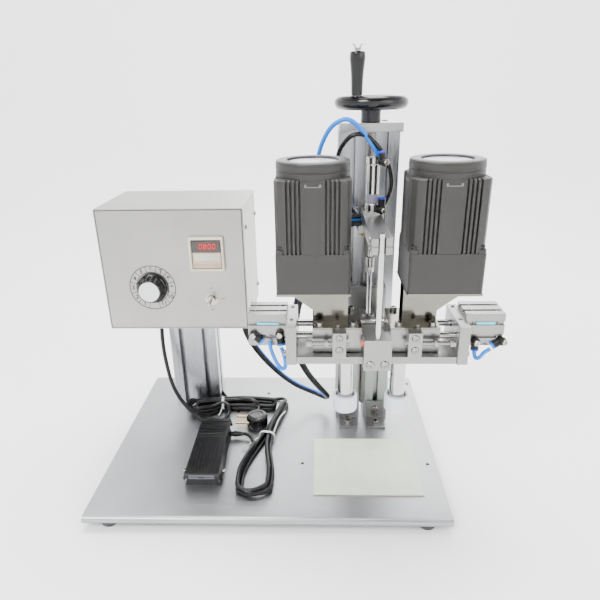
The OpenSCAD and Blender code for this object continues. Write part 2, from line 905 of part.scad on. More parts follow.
// ---- Carriages, each with its motor, gears, spindle and roller ----
module carriage_block(right) {
    color("silver")
        at_plate()
            at_side(right)
                difference() {
                    block([block_x[0], block_y[0], block_low], [block_x[1], block_y[1], block_top]);
                    // Gear chamber, closed by the motor bracket
                    block([block_x[0] + 4.5, -104, block_low + 5], [block_x[1] - 3, -74, block_top + 1]);
                    for (y = rod_ys)
                        rod_x(block_x[0] - 1, block_x[1] + 1, y, rod_z, rod_r + 0.05);
                    rod_z(block_low - 1, block_low + 6, spindle_x, spindle_y, spindle_r + 0.05);
                }
}
module motor_bracket(right) {
    web_t = 3;
    top_low = gearhead_low - flange_t;
    color("lightgray")
        at_plate()
            at_side(right)
                difference() {
                    union() {
                        block([block_x[0], block_y[0], block_top], [block_x[1], block_y[1], block_top + flange_t]);
                        block([motor_x - motor_w / 2, spindle_y - motor_w / 2, top_low],
                              [motor_x + motor_w / 2, spindle_y + motor_w / 2, gearhead_low]);
                        for (y = [-100, -75])
                            translate([0, y + web_t / 2, 0])
                                rotate([90, 0, 0])
                                    linear_extrude(web_t)
                                        polygon([
                                            [motor_x - 42, top_low], [motor_x + 44, top_low],
                                            [motor_x + 44, block_top + flange_t], [block_x[0] + 2, block_top + flange_t],
                                            [block_x[0] + 2, block_top + 18]
                                        ]);
                    }
                    rod_z(block_top - 1, block_top + flange_t + 1, drive_x, spindle_y, 8);
                    rod_z(top_low - 1, gearhead_low + 1, drive_x, spindle_y, 17);
                }
}
module gearhead(right) {
    half = motor_w / 2;
    color("dimgray")
        at_plate()
            at_side(right)
                difference() {
                    union() {
                        translate([motor_x, spindle_y, gearhead_low])
                            linear_extrude(gearhead_top - gearhead_low)
                                difference() {
                                    square(2 * half, center = true);
                                    for (a = [0:90:270])
                                        rotate(a)
                                            translate([half, half])
                                                rotate(45)
                                                    square(4, center = true);
                                }
                            rod_z(gearhead_low - flange_t, gearhead_low, drive_x, spindle_y, 16.5);
                    }
                    rod_z(gearhead_low - flange_t - 1, gearhead_low + 22, drive_x, spindle_y, 6 + 0.05);
                }
}
// Cross-section of the finned motor casing: a flat panel in the middle of each side,
// four fins either side of it and a post in each corner.
module motor_section() {
    half = motor_w / 2;
    difference() {
        square(2 * half, center = true);
        for (a = [0:90:270], side = [-1, 1], i = [0:3])
            rotate(a)
                translate([side * (15 + 5 * i), half])
                    square([2.8, 10], center = true);
        for (a = [0:90:270])
            rotate(a)
                translate([half, half])
                    rotate(45)
                        square(6, center = true);
    }
}
module motor(right) {
    low = gearhead_top;
    cap_low = low + motor_h - 3;
    color("dimgray")
        at_plate()
            at_side(right)
                translate([motor_x, spindle_y, 0]) {
                    translate([0, 0, low])
                        linear_extrude(motor_h)
                            motor_section();
                    // Fan cover with its groove and recessed label disc
                    translate([0, 0, cap_low])
                        rotate_extrude()
                            polygon([
                                [0, 0], [44.5, 0], [44.5, 9], [43, 10], [43, 12], [44.5, 13], [44.5, 18],
                                [42, 20.5], [31, 20.5], [30, 19], [0, 19]
                            ]);
                }
}
// Stop block on the front of the carriage, with its adjusting screw and lock nut.
module stop(right) {
    color("silver")
        at_plate()
            at_side(right) {
                block([89, -139, block_low], [106, block_y[0], block_top + 3]);
                rod_x(right ? 49 : 56, 110.3, stop_y, stop_z, 3);
                translate([right ? 46.5 : 56, stop_y, stop_z])
                    rotate([0, 90, 0])
                        cylinder(h = 7, r = 5.6, $fn = 6);
                translate([right ? 68 : 79, stop_y, stop_z])
                    rotate([0, 90, 0])
                        cylinder(h = 5, r = 5.6, $fn = 6);
            }
}
// Gear outline. The teeth are trapezoids, a little narrow so that the pair has backlash.
module gear_section(phase) {
    pitch_r = gear_pitch_d / 2;
    module_size = gear_pitch_d / gear_teeth;
    step = 360 / gear_teeth;
    radii = [pitch_r - 1.3 * module_size, pitch_r, pitch_r + 0.9 * module_size];
    halves = [0.27 * step, 0.2 * step, 0.1 * step];
    polygon([
        for (i = [0:gear_teeth - 1], k = [0:5])
            let (j = k < 3 ? k : 5 - k, side = k < 3 ? -1 : 1, a = (i + phase) * step + side * halves[j])
            radii[j] * [cos(a), sin(a)]
    ]);
}
module drive_gear(right) {
    color("darkgray")
        at_plate()
            at_side(right)
                translate([drive_x, spindle_y, 0]) {
                    translate([0, 0, gear_low])
                        linear_extrude(gear_h)
                            gear_section(0);
                    rod_z(gear_low, gearhead_low + 20, 0, 0, 6);
                }
}
module spindle(right) {
    color("white")
        at_plate()
            at_side(right)
                translate([spindle_x, spindle_y, 0]) {
                    translate([0, 0, gear_low])
                        linear_extrude(gear_h)
                            gear_section(0.5);
                    rod_z(roller_low, gear_low + gear_h + 4, 0, 0, spindle_r);
                    rod_z(roller_low + roller_h, block_low - gap, 0, 0, sleeve_r);
                    rod_z(roller_low - 4, roller_low, 0, 0, 8);
                    rod_z(gear_low - 1.5, gear_low, 0, 0, 8);
                }
}
module roller(right) {
    half = roller_d / 2;
    color("aliceblue")
        at_plate()
            at_side(right)
                translate([spindle_x, spindle_y, roller_low])
                    rotate_extrude()
                        polygon([
                            [spindle_r, 0], [half - 1.5, 0], [half, 1.5], [half, roller_h - 1.5],
                            [half - 1.5, roller_h], [half - 4, roller_h], [half - 4, roller_h - 4],
                            [sleeve_r, roller_h - 4], [sleeve_r, roller_h], [spindle_r, roller_h]
                        ]);
}
module grip_rod(right) {
    outer = head_x - end_plate_x - end_plate_t;
    color("white")
        at_plate()
            at_side(right) {
                rod_x(outer - 28, block_x[0], spindle_y, grip_axis_z, grip_rod_r);
            }
}
module left_carriage_block() { carriage_block(false); }
module right_carriage_block() { carriage_block(true); }
module left_motor_bracket() { motor_bracket(false); }
module right_motor_bracket() { motor_bracket(true); }
module left_gearhead() { gearhead(false); }
module right_gearhead() { gearhead(true); }
module left_motor() { motor(false); }
module right_motor() { motor(true); }
module left_stop() { stop(false); }
module right_stop() { stop(true); }
module left_drive_gear() { drive_gear(false); }
module right_drive_gear() { drive_gear(true); }
module left_spindle() { spindle(false); }
module right_spindle() { spindle(true); }
module left_roller() { roller(false); }
module right_roller() { roller(true); }
module left_grip_rod() { grip_rod(false); }
module right_grip_rod() { grip_rod(true); }

base_plate();
rubber_feet();
bottle_pad();
main_column();
column_top_plate();
screw_bearing();
foot_brackets();
box_column();
control_box();
control_panel();
timer();
panel_controls();
torque_knob();
toggle_lever();
control_board();
air_valves();
pedal_base();
pedal_tread();
pedal_pin();
pedal_spring();
pedal_gland();
pedal_cord();
pedal_cord_hank();
mains_cord();
mains_cord_hank();
mains_plug();
service_hose();
lead_screw();
handwheel();
handwheel_grip();
lift_block();
lead_nut();
lift_clamp();
lift_arm();
press_cylinder();
head_plate();
end_plates();
guide_rods();
centre_block();
press_rod();
head_guide_block();
grip_cylinders();
left_carriage_block();
left_motor_bracket();
left_gearhead();
left_motor();
left_stop();
left_drive_gear();
left_spindle();
left_roller();
left_grip_rod();
right_carriage_block();
right_motor_bracket();
right_gearhead();
right_motor();
right_stop();
right_drive_gear();
right_spindle();
right_roller();
right_grip_rod();
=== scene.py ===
import json
import math

import bmesh
import bpy
from mathutils import Matrix, Vector

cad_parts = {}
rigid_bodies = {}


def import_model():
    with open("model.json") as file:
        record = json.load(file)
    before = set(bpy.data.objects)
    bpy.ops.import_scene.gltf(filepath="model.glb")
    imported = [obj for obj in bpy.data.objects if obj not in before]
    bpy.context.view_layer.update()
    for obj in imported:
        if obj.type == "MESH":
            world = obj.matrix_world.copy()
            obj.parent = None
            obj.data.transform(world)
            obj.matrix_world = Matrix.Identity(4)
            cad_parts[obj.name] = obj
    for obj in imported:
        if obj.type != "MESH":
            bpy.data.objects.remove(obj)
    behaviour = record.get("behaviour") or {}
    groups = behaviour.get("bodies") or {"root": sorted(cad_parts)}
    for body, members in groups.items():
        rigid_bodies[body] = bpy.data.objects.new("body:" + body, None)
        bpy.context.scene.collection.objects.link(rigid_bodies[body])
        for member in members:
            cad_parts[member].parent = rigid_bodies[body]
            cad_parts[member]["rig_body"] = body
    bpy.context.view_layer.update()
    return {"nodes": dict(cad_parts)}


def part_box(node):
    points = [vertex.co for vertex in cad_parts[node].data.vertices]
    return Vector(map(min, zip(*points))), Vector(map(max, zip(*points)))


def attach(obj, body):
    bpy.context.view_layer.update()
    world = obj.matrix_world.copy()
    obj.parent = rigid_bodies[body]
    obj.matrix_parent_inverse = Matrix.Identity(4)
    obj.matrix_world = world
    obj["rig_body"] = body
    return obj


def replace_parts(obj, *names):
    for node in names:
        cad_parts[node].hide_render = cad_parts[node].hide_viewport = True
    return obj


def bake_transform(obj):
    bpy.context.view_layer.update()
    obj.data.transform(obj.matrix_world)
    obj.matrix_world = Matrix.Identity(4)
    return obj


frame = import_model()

# The looks of a desk-top capping machine. Lengths are millimetres from the middle of the base
# plate's top face, +X to the operator's right and -Y towards the operator, unless a name ends in _m.
MM = 0.001
plate_low_m, plate_high_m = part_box("base_plate")
ORIGIN_M = Vector(
    ((plate_low_m.x + plate_high_m.x) / 2, (plate_low_m.y + plate_high_m.y) / 2, plate_high_m.z),
)
TO_ROW = Matrix.Translation(ORIGIN_M) @ Matrix.Scale(MM, 4)
FLOOR_Z = -22.0
FRONT, BACK, LEFT, RIGHT, UP, DOWN = (0, -1, 0), (0, 1, 0), (-1, 0, 0), (1, 0, 0), (0, 0, 1), (0, 0, -1)


def row(point):
    """A point in the row frame, in metres."""
    return TO_ROW @ Vector(point)


def span(node):
    """A CAD node's lowest and highest corners."""
    return [TO_ROW.inverted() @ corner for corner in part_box(node)]


def middle(node):
    low, high = span(node)
    return (low + high) / 2


# ---- Shapes ----
def facing(at, direction, turn=0.0):
    """A matrix that stands +Z along a direction at a point."""
    z = Vector(direction).normalized()
    hint = Vector((1, 0, 0)) if abs(z.x) < 0.9 else Vector((0, 1, 0))
    y = z.cross(hint).normalized()
    turned = Matrix((y.cross(z), y, z)).transposed().to_4x4()
    return Matrix.Translation(Vector(at)) @ turned @ Matrix.Rotation(turn, 4, "Z")


def add_rings(bm, rings, m=0, closed=False, caps=(True, True)):
    """Joins rings of points with quads; `m` is the material's place in the piece's list."""
    rows = [[bm.verts.new(p) for p in ring] for ring in rings]
    count = len(rows[0])
    pairs = list(zip(rows, rows[1:]))
    if closed:
        pairs.append((rows[-1], rows[0]))
    made = [
        bm.faces.new((a[i], a[(i + 1) % count], b[(i + 1) % count], b[i]))
        for a, b in pairs
        for i in range(count)
    ]
    if not closed:
        made += [bm.faces.new(ring) for ring, wanted in ((rows[0], caps[0]), (rows[-1], caps[1])) if wanted]
    for face in made:
        face.material_index = m


def add_lathe(bm, at, direction, profile, n=48, m=0, closed=False, turn=0.0):
    """Turns [radius, height] pairs round an axis; a radius may be a function of the angle."""
    place = facing(at, direction, turn)
    rings = []
    for radius, height in profile:
        ring = []
        for i in range(n):
            a = 2 * math.pi * i / n
            r = radius(a) if callable(radius) else radius
            ring.append(place @ Vector((r * math.cos(a), r * math.sin(a), height)))
        rings.append(ring)
    add_rings(bm, rings, m, closed)


def hexagon(apothem):
    return lambda a: apothem / math.cos(a % (math.pi / 3) - math.pi / 6)


def cross(arm, half):
    def radius(a):
        c, s = max(abs(math.cos(a)), 1e-6), max(abs(math.sin(a)), 1e-6)
        return max(min(arm / c, half / s), min(arm / s, half / c))

    return radius


def add_screw(bm, at, direction, r, h, kind="hex", m=0, turn=0.3):
    """A screw head seated at a point: a socket cap, or a pan head with a cross recess."""
    n = 48
    if kind == "hex":
        recess, depth, crown = hexagon(r * 0.5), h * 0.65, 0.12 * r
    else:
        recess, depth, crown = cross(r * 0.55, r * 0.13), h * 0.4, 0.45 * h
    profile = [
        (r * 0.97, 0), (r, 0.06 * h), (r, h - crown), (r - crown, h), (recess, h), (recess, h - depth),
    ]
    add_lathe(bm, at, direction, profile, n, m, turn=turn)


def rounded(w, h, r, steps=4):
    """The corners of a rectangle with round corners, as [x, y] pairs."""
    r = max(min(r, w / 2 - 0.01, h / 2 - 0.01), 0.01)
    points = []
    for i, (sx, sy) in enumerate([(1, 1), (-1, 1), (-1, -1), (1, -1)]):
        for k in range(steps + 1):
            a = math.pi / 2 * (i + k / steps)
            points.append((sx * (w / 2 - r) + r * math.cos(a), sy * (h / 2 - r) + r * math.sin(a)))
    return points


def add_slab(bm, at, direction, w, h, thick, r=1.0, bevel=0.4, m=0, turn=0.0, steps=4):
    """A slab with round corners and softened rims, standing `thick` tall from a point."""
    place = facing(at, direction, turn)
    rings = []
    levels = [(bevel, 0), (bevel * 0.3, bevel * 0.3), (0, bevel)]
    levels += [(inset, thick - z) for inset, z in reversed(levels)]
    for inset, z in levels:
        outline = rounded(w - 2 * inset, h - 2 * inset, r - inset * 0.5, steps)
        rings.append([place @ Vector((x, y, z)) for x, y in outline])
    add_rings(bm, rings, m)


def add_block(bm, low, high, r=0.6, bevel=0.4, m=0):
    """An upright block between two corners, with softened edges."""
    low, high = Vector(low), Vector(high)
    at = ((low.x + high.x) / 2, (low.y + high.y) / 2, low.z)
    add_slab(bm, at, UP, high.x - low.x, high.y - low.y, high.z - low.z, r, bevel, m)


def smooth_path(points, step):
    """A Catmull-Rom line through the points, with samples about `step` apart."""
    points = [Vector(p) for p in points]
    ends = [2 * points[0] - points[1], *points, 2 * points[-1] - points[-2]]
    line = [points[0]]
    for a, b, c, d in zip(ends, ends[1:], ends[2:], ends[3:]):
        count = max(1, round((c - b).length / step))
        for k in range(1, count + 1):
            t = k / count
            square = (2 * a - 5 * b + 4 * c - d) * t * t
            cube = (3 * b - a - 3 * c + d) * t**3
            line.append(0.5 * (2 * b + (c - a) * t + square + cube))
    return line


def sides_along(line):
    """Two side directions at each point of a line, carried along it without twist."""
    out = []
    side = None
    for i in range(len(line)):
        t = (line[min(i + 1, len(line) - 1)] - line[max(i - 1, 0)]).normalized()
        if side is None:
            side = t.cross(Vector((0, 0, 1)) if abs(t.z) < 0.9 else Vector((1, 0, 0)))
        side = (side - t * side.dot(t)).normalized()
        out.append((side, t.cross(side)))
    return out


def add_tube(bm, line, r, n=12, m=0, bulge=None):
    """A tube round a line; `bulge` gives a factor on the radius at each sample."""
    rings = []
    turns = [2 * math.pi * k / n for k in range(n)]
    for i, (p, (a, b)) in enumerate(zip(line, sides_along(line))):
        wide = r * (bulge(i) if bulge else 1)
        rings.append([p + wide * (math.cos(t) * a + math.sin(t) * b) for t in turns])
    add_rings(bm, rings, m)


def piece(name, bm, materials, body, angle=35, even=True):
    """Makes the mesh a piece of the object that rides on a body."""
    materials = materials if isinstance(materials, list) else [materials]
    bmesh.ops.recalc_face_normals(bm, faces=bm.faces)
    for edge in bm.edges:
        edge.smooth = len(edge.link_faces) != 2 or edge.calc_face_angle() < math.radians(angle)
    for face in bm.faces:
        face.smooth = True
    bm.transform(TO_ROW)
    mesh = bpy.data.meshes.new(name)
    bm.to_mesh(mesh)
    bm.free()
    for material in materials:
        mesh.materials.append(material)
    obj = bpy.data.objects.new(name, mesh)
    bpy.context.scene.collection.objects.link(obj)
    if even:
        normals = obj.modifiers.new("even_normals", "WEIGHTED_NORMAL")
        normals.keep_sharp = True
    if body:
        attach(obj, body)
    return obj


def cad_copy(node):
    """The node's own mesh, in millimetres, with its triangles joined into flat faces."""
    bm = bmesh.new()
    bm.from_mesh(frame["nodes"][node].data)
    bm.transform(TO_ROW.inverted())
    bmesh.ops.remove_doubles(bm, verts=bm.verts, dist=0.01)
    bmesh.ops.dissolve_limit(bm, angle_limit=math.radians(1), verts=bm.verts, edges=bm.edges)
    for face in bm.faces:
        face.material_index = 0
    return bm


def soften(node, materials, width=0.5, segments=2, more=None):
    """Shows a CAD node with its edges rounded; `more` adds small fixed pieces to the same mesh."""
    bm = cad_copy(node)
    if width:
        edges = [e for e in bm.edges if len(e.link_faces) == 2 and e.calc_face_angle() > math.radians(30)]
        bmesh.ops.bevel(
            bm, geom=edges, offset=width, segments=segments, profile=0.5, affect="EDGES", clamp_overlap=True
        )
    if more:
        more(bm)
    obj = piece(node + "_skin", bm, materials, frame["nodes"][node]["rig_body"])
    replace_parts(obj, node)
    return obj


# ---- Materials ----
class Nodes:
    """A material's node tree with short calls for what the materials here share."""

    def __init__(self, name, slot, colour, roughness, metallic=0.0, **sockets):
        self.material = bpy.data.materials.new(name)
        self.material.use_nodes = True
        if slot:
            self.material["slot"] = slot
        self.tree = self.material.node_tree
        self.shader = self.tree.nodes["Principled BSDF"]
        self.shader.inputs["Base Color"].default_value = (*colour, 1)
        self.shader.inputs["Roughness"].default_value = roughness
        self.shader.inputs["Metallic"].default_value = metallic
        for socket, value in sockets.items():
            self.shader.inputs[socket.replace("_", " ")].default_value = value
        self.colour = colour
        self.place = self.add("ShaderNodeTexCoord").outputs["Object"]
        self.height = None

    def add(self, kind, **values):
        node = self.tree.nodes.new(kind)
        for key, value in values.items():
            setattr(node, key, value)
        return node

    def link(self, out, into):
        self.tree.links.new(out, into)
        return self

    def noise(self, scale, stretch=(1, 1, 1), detail=4.0, rough=0.55, seed=0.0):
        """Noise of about `scale` bumps a metre, squeezed by `stretch` along each axis."""
        mapping = self.add("ShaderNodeMapping")
        mapping.inputs["Scale"].default_value = stretch
        mapping.inputs["Location"].default_value = (seed, seed * 0.7, seed * 1.3)
        self.link(self.place, mapping.inputs["Vector"])
        noise = self.add("ShaderNodeTexNoise")
        noise.inputs["Scale"].default_value = scale
        noise.inputs["Detail"].default_value = detail
        noise.inputs["Roughness"].default_value = rough
        self.link(mapping.outputs["Vector"], noise.inputs["Vector"])
        return noise.outputs["Fac"]

    def ramp(self, fac, low, high, start=0.3, end=0.7):
        ramp = self.add("ShaderNodeMapRange", clamp=True)
        for name, value in (("From Min", start), ("From Max", end), ("To Min", low), ("To Max", high)):
            ramp.inputs[name].default_value = value
        self.link(fac, ramp.inputs["Value"])
        return ramp.outputs["Result"]

    def mottle(self, fac, dark, light=1.0, start=0.3, end=0.7):
        """Makes the base colour run from dark to light times itself with the noise."""
        mix = self.add("ShaderNodeMix", data_type="RGBA")
        mix.inputs["A"].default_value = (*[c * dark for c in self.colour], 1)
        mix.inputs["B"].default_value = (*[min(1, c * light) for c in self.colour], 1)
        self.link(self.ramp(fac, 0, 1, start, end), mix.inputs["Factor"])
        self.link(mix.outputs["Result"], self.shader.inputs["Base Color"])
        return self

    def vary_roughness(self, fac, low, high):
        self.link(self.ramp(fac, low, high), self.shader.inputs["Roughness"])
        return self

    def bump(self, fac, depth_mm, strength=1.0):
        """Adds a height to the surface's normal."""
        bump = self.add("ShaderNodeBump")
        bump.inputs["Distance"].default_value = depth_mm * MM
        bump.inputs["Strength"].default_value = strength
        self.link(fac, bump.inputs["Height"])
        if self.height:
            self.link(self.height, bump.inputs["Normal"])
        self.height = bump.outputs["Normal"]
        self.link(self.height, self.shader.inputs["Normal"])
        return self


def brushed(
    name, slot, colour, roughness, along, depth=0.01, metallic=1.0, grain=900, shade=0.93, spread=0.06,
):
    """Metal with fine lines along one axis: 0 for X, 1 for Y and 2 for Z."""
    stretch = [1.0, 1.0, 1.0]
    stretch[along] = 0.02
    n = Nodes(name, slot, colour, roughness, metallic)
    lines = n.noise(grain, stretch, 3)
    cloud = n.noise(14, (1, 1, 1), 3, seed=3)
    n.mottle(cloud, shade, 1.03)
    n.vary_roughness(lines, roughness - spread, roughness + spread)
    n.bump(lines, depth)
    return n.material


def blasted(name, slot, colour, roughness, metallic=1.0, grain=2600, depth=0.012, shade=0.95, **sockets):
    """Metal or paint with an even fine grain."""
    n = Nodes(name, slot, colour, roughness, metallic, **sockets)
    grains = n.noise(grain, detail=2)
    cloud = n.noise(30, detail=3, seed=5)
    n.mottle(cloud, shade, 1.03)
    n.vary_roughness(cloud, roughness - 0.04, roughness + 0.04)
    n.bump(grains, depth)
    return n.material


def moulded(name, slot, colour, roughness, grain=1500, depth=0.01, shade=0.9, **sockets):
    """Plastic or rubber with a slight grain and small changes of colour and gloss."""
    n = Nodes(name, slot, colour, roughness, 0.0, **sockets)
    grains = n.noise(grain, detail=2)
    cloud = n.noise(45, detail=3, seed=7)
    n.mottle(cloud, shade, 1.05)
    n.vary_roughness(cloud, max(0.02, roughness - 0.05), roughness + 0.05)
    n.bump(grains, depth)
    return n.material


PLATE = brushed(
    "plate_metal", "plate_aluminium", (0.38, 0.385, 0.395), 0.38, 0, 0.006, grain=700, shade=0.94,
)
MACHINED = blasted("machined_metal", "machined_aluminium", (0.29, 0.29, 0.282), 0.3)
MILLED = brushed("milled_metal", "machined_aluminium", (0.37, 0.37, 0.36), 0.28, 0, 0.008)
PROFILE = brushed("profile_metal", "anodised_profile", (0.40, 0.41, 0.43), 0.3, 2, 0.006, grain=500)
SHEET = brushed("sheet_metal", "stainless_sheet", (0.35, 0.345, 0.322), 0.34, 0, 0.004, grain=1400)
MIRROR_SHEET = brushed(
    "mirror_sheet", "stainless_sheet", (0.22, 0.21, 0.18), 0.16, 0, 0.003, grain=600, shade=0.8,
)
CHROME = brushed("chrome_metal", "chrome", (0.42, 0.42, 0.435), 0.08, 2, 0.001, spread=0.02)
STEEL = blasted("steel_metal", "steel", (0.30, 0.29, 0.28), 0.24, depth=0.004)
NICKEL = blasted("nickel_metal", "chrome", (0.50, 0.47, 0.41), 0.2, depth=0.003)
BLACK_STEEL = blasted("black_oxide", "black_steel", (0.035, 0.035, 0.037), 0.35, depth=0.004)
BRASS = brushed("brass_metal", "brass", (0.50, 0.38, 0.18), 0.28, 2, 0.004)
PAINT = blasted(
    "motor_enamel", "motor_paint", (0.03, 0.029, 0.027), 0.42, metallic=0.0, grain=900, depth=0.02,
    Specular_IOR_Level=0.3,
)
LABEL = moulded("label_film", "motor_paint", (0.36, 0.34, 0.44), 0.3, depth=0.003)
GLOSS = moulded(
    "gloss_black", "black_plastic", (0.004, 0.004, 0.0045), 0.16, 700, 0.006, Specular_IOR_Level=0.4,
)
SATIN = moulded("satin_black", "black_plastic", (0.006, 0.006, 0.0065), 0.36, Specular_IOR_Level=0.3)
PEDAL = moulded(
    "pedal_black", "pedal_plastic", (0.005, 0.005, 0.0055), 0.34, 1800, 0.02, Specular_IOR_Level=0.3,
)
PEDAL_GREY = moulded("pedal_grey", "pedal_plastic", (0.09, 0.09, 0.105), 0.45, 1800, 0.015)
CREAM = moulded("cream_case", "cream_plastic", (0.60, 0.55, 0.44), 0.4, depth=0.004, shade=0.96)
WHITE = moulded("white_plastic", None, (0.66, 0.66, 0.64), 0.4, depth=0.004, shade=0.95)
DARK_WINDOW = moulded("dark_window", None, (0.018, 0.010, 0.010), 0.1, depth=0.001, Coat_Weight=0.5)
PAD = moulded("pad_sheet", "pad_rubber", (0.70, 0.68, 0.55), 0.5, 300, 0.05, 0.94, Subsurface_Weight=0.25)
FOOT = moulded("foot_rubber", "foot_rubber", (0.045, 0.045, 0.048), 0.7, 900, 0.05)
URETHANE = moulded(
    "roller_urethane", "roller_urethane", (0.66, 0.71, 0.78), 0.36, 500, 0.02, 0.95,
    Subsurface_Weight=0.5, Subsurface_Scale=0.006,
)
PVC = moulded("cord_black", "cord_pvc", (0.005, 0.005, 0.0055), 0.33, 900, 0.02, Specular_IOR_Level=0.3)
HOSE = moulded("hose_black", "cord_pvc", (0.005, 0.005, 0.005), 0.26, 500, 0.01, Specular_IOR_Level=0.3)
BLUE_TUBE = moulded("blue_tube", None, (0.003, 0.17, 0.70), 0.25, 400, 0.01, 0.92, Specular_IOR_Level=0.3)
DEEP_BLUE = moulded("deep_blue", None, (0.012, 0.045, 0.60), 0.25, depth=0.004)
CYAN = moulded("cyan_film", None, (0.10, 0.58, 0.78), 0.4, depth=0.002)
ORANGE = moulded("bumper_orange", None, (0.75, 0.13, 0.05), 0.5)
TIE = moulded("tie_white", None, (0.62, 0.63, 0.62), 0.35, depth=0.006)
INK = moulded("print_black", None, (0.012, 0.012, 0.012), 0.5, depth=0.001)
BOARD = moulded("board_green", "circuit_board", (0.015, 0.16, 0.06), 0.4)
WRAP = moulded("wrap_black", "cord_pvc", (0.007, 0.007, 0.0075), 0.3, 600, 0.01, Specular_IOR_Level=0.3)


def digit_material():
    n = Nodes("digit_red", None, (0.45, 0.02, 0.015), 0.4)
    n.shader.inputs["Emission Color"].default_value = (1.0, 0.05, 0.03, 1)
    n.shader.inputs["Emission Strength"].default_value = 0.9
    n.bump(n.noise(900), 0.002)
    return n.material


DIGIT = digit_material()


# ---- Camera, floor and light ----
def add_camera():
    """The camera at the operator's side, a little above the motors."""
    camera = bpy.data.cameras.new("camera")
    camera.lens, camera.sensor_width = 31.8, 36
    camera.clip_start, camera.clip_end = 0.01, 50
    pitch, yaw, roll = math.radians(21.77), math.radians(-2.05), math.radians(-0.96)
    ahead = Vector((math.sin(yaw) * math.cos(pitch), math.cos(yaw) * math.cos(pitch), -math.sin(pitch)))
    level = Vector((math.cos(yaw), -math.sin(yaw), 0))
    upright = level.cross(ahead)
    x = level * math.cos(roll) + upright * math.sin(roll)
    y = upright * math.cos(roll) - level * math.sin(roll)
    turned = Matrix((x, y, -ahead)).transposed().to_4x4()
    obj = bpy.data.objects.new("camera", camera)
    obj.matrix_world = Matrix.Translation(row((70.6, -731.9, 533.0))) @ turned
    bpy.context.scene.collection.objects.link(obj)
    bpy.context.scene.camera = obj


def add_area(name, at_m, target_m, size, power):
    """A round soft light; places are in metres."""
    light = bpy.data.lights.new(name, "AREA")
    light.shape, light.size, light.energy = "DISK", size, power
    obj = bpy.data.objects.new(name, light)
    at_m = Vector(at_m)
    turned = (Vector(target_m) - at_m).to_track_quat("-Z", "Y").to_matrix().to_4x4()
    obj.matrix_world = Matrix.Translation(at_m) @ turned
    bpy.context.scene.collection.objects.link(obj)


def add_stage():
    """The pale floor, the world and the soft lights."""
    # A flat floor that sweeps up all round, so that no horizon shows
    bm = bmesh.new()
    flat, sweep, top = 2000, 1400, 2400
    bend = []
    for k in range(13):
        a = math.pi * k / 24
        bend.append((flat + sweep * math.sin(a), sweep - sweep * math.cos(a)))
    profile = [(300, 0), *bend, (flat + sweep, top)]
    angles = [2 * math.pi * k / 64 for k in range(64)]
    rings = [[(r * math.cos(a), r * math.sin(a), FLOOR_Z + z) for a in angles] for r, z in profile]
    add_rings(bm, rings, caps=(True, False))
    n = Nodes("floor_pale", None, (0.93, 0.93, 0.93), 0.7)
    n.bump(n.noise(40), 0.05)
    floor = piece("floor", bm, n.material, None, even=False)
    world = bpy.data.worlds.new("studio")
    world.use_nodes = True
    tree = world.node_tree
    background = tree.nodes["Background"]
    background.inputs["Color"].default_value = (0.97, 0.98, 1.0, 1)
    # Bright behind the machine, dimmer on the operator's side, so that metal faces keep their contrast
    place = tree.nodes.new("ShaderNodeTexCoord")
    axes = tree.nodes.new("ShaderNodeSeparateXYZ")
    ramp = tree.nodes.new("ShaderNodeMapRange")
    tree.links.new(place.outputs["Generated"], axes.inputs["Vector"])
    tree.links.new(axes.outputs["Y"], ramp.inputs["Value"])
    for key, value in (("From Min", -0.7), ("From Max", 0.5), ("To Min", 0.18), ("To Max", 1.95)):
        ramp.inputs[key].default_value = value
    tree.links.new(ramp.outputs["Result"], background.inputs["Strength"])
    bpy.context.scene.world = world
    aim = (0, 0, 0.25)
    add_area("key", (-0.9, -1.5, 1.9), aim, 1.1, 62)
    add_area("fill", (1.5, -1.2, 1.2), aim, 1.4, 16)
    add_area("top", (0.1, 0.3, 2.2), aim, 1.6, 44)
    add_area("rim", (0.3, 1.8, 1.2), aim, 1.5, 16)
    add_area("backdrop", (0.0, 1.3, 3.4), (0.0, 3.2, 0.4), 2.5, 190)


add_camera()
add_stage()


# ---- Cords ----
MAINS_R, PEDAL_R = 3.3, 2.8
mains_exit = (-190, 66, 198)
mains_route = [
    mains_exit, (-190, 66, 184), (-190, 66, 163), (-191, 66, 142), (-190, 64, 120), (-187, 61, 96),
    (-182, 56, 73), (-174, 50, 53), (-162, 44, 35), (-147, 38, 20), (-132, 32, 9), (-120, 28, 4),
    (-110, 27, 3.3), (-101, 29, 3.3), (-93, 35, 4), (-88, 44, 5), (-86, 56, 6), (-86, 68, 7),
]
mains_tail = [(-34, 68, 12), (-34.5, 61.5, 11), (-34, 52, 12), (-33, 44, 12)]
mains_hank = [(-136, 66, 16), (-118, 70, 15), (-100, 77, 10), (-70, 80, 10), (-40, 79, 10), (-12, 76, 9)]
pedal_exit = (-53, -9, 8)
pedal_route = [
    pedal_exit, (-48.5, -9, 8), (-42.5, -13, 8), (-37.5, -20, 8), (-34.5, -28, 8), (-32, -34.4, 8),
]
pedal_hank = [
    (-21, -123, 27), (-21, -100, 27), (-20, -72, 22), (-17, -42, 15), (-9, 0, 9), (1, 40, 8), (10, 78, 8),
]
pedal_tail = [
    (11.8, 85.9, 8), (12, 94, 7), (7, 102, 5), (-4, 105, 3), (-20, 102, 2.8), (-38, 99, 2.8),
    (-56, 98, 2.8), (-74, 99, 2.8), (-88, 103, 2.8), (-98, 108.5, 4), (-104.5, 111.7, 10),
    (-109.5, 112, 20), (-111.5, 112, 33), (-111.5, 112, 54), (-111.5, 112, 75), (-111.5, 112, 96),
    (-111.5, 112, 117), (-111.5, 112, 138), (-109, 112, 153), (-102.5, 109.5, 166),
    (-96, 101, 176), (-92, 88, 187), (-92, 84, 198),
]
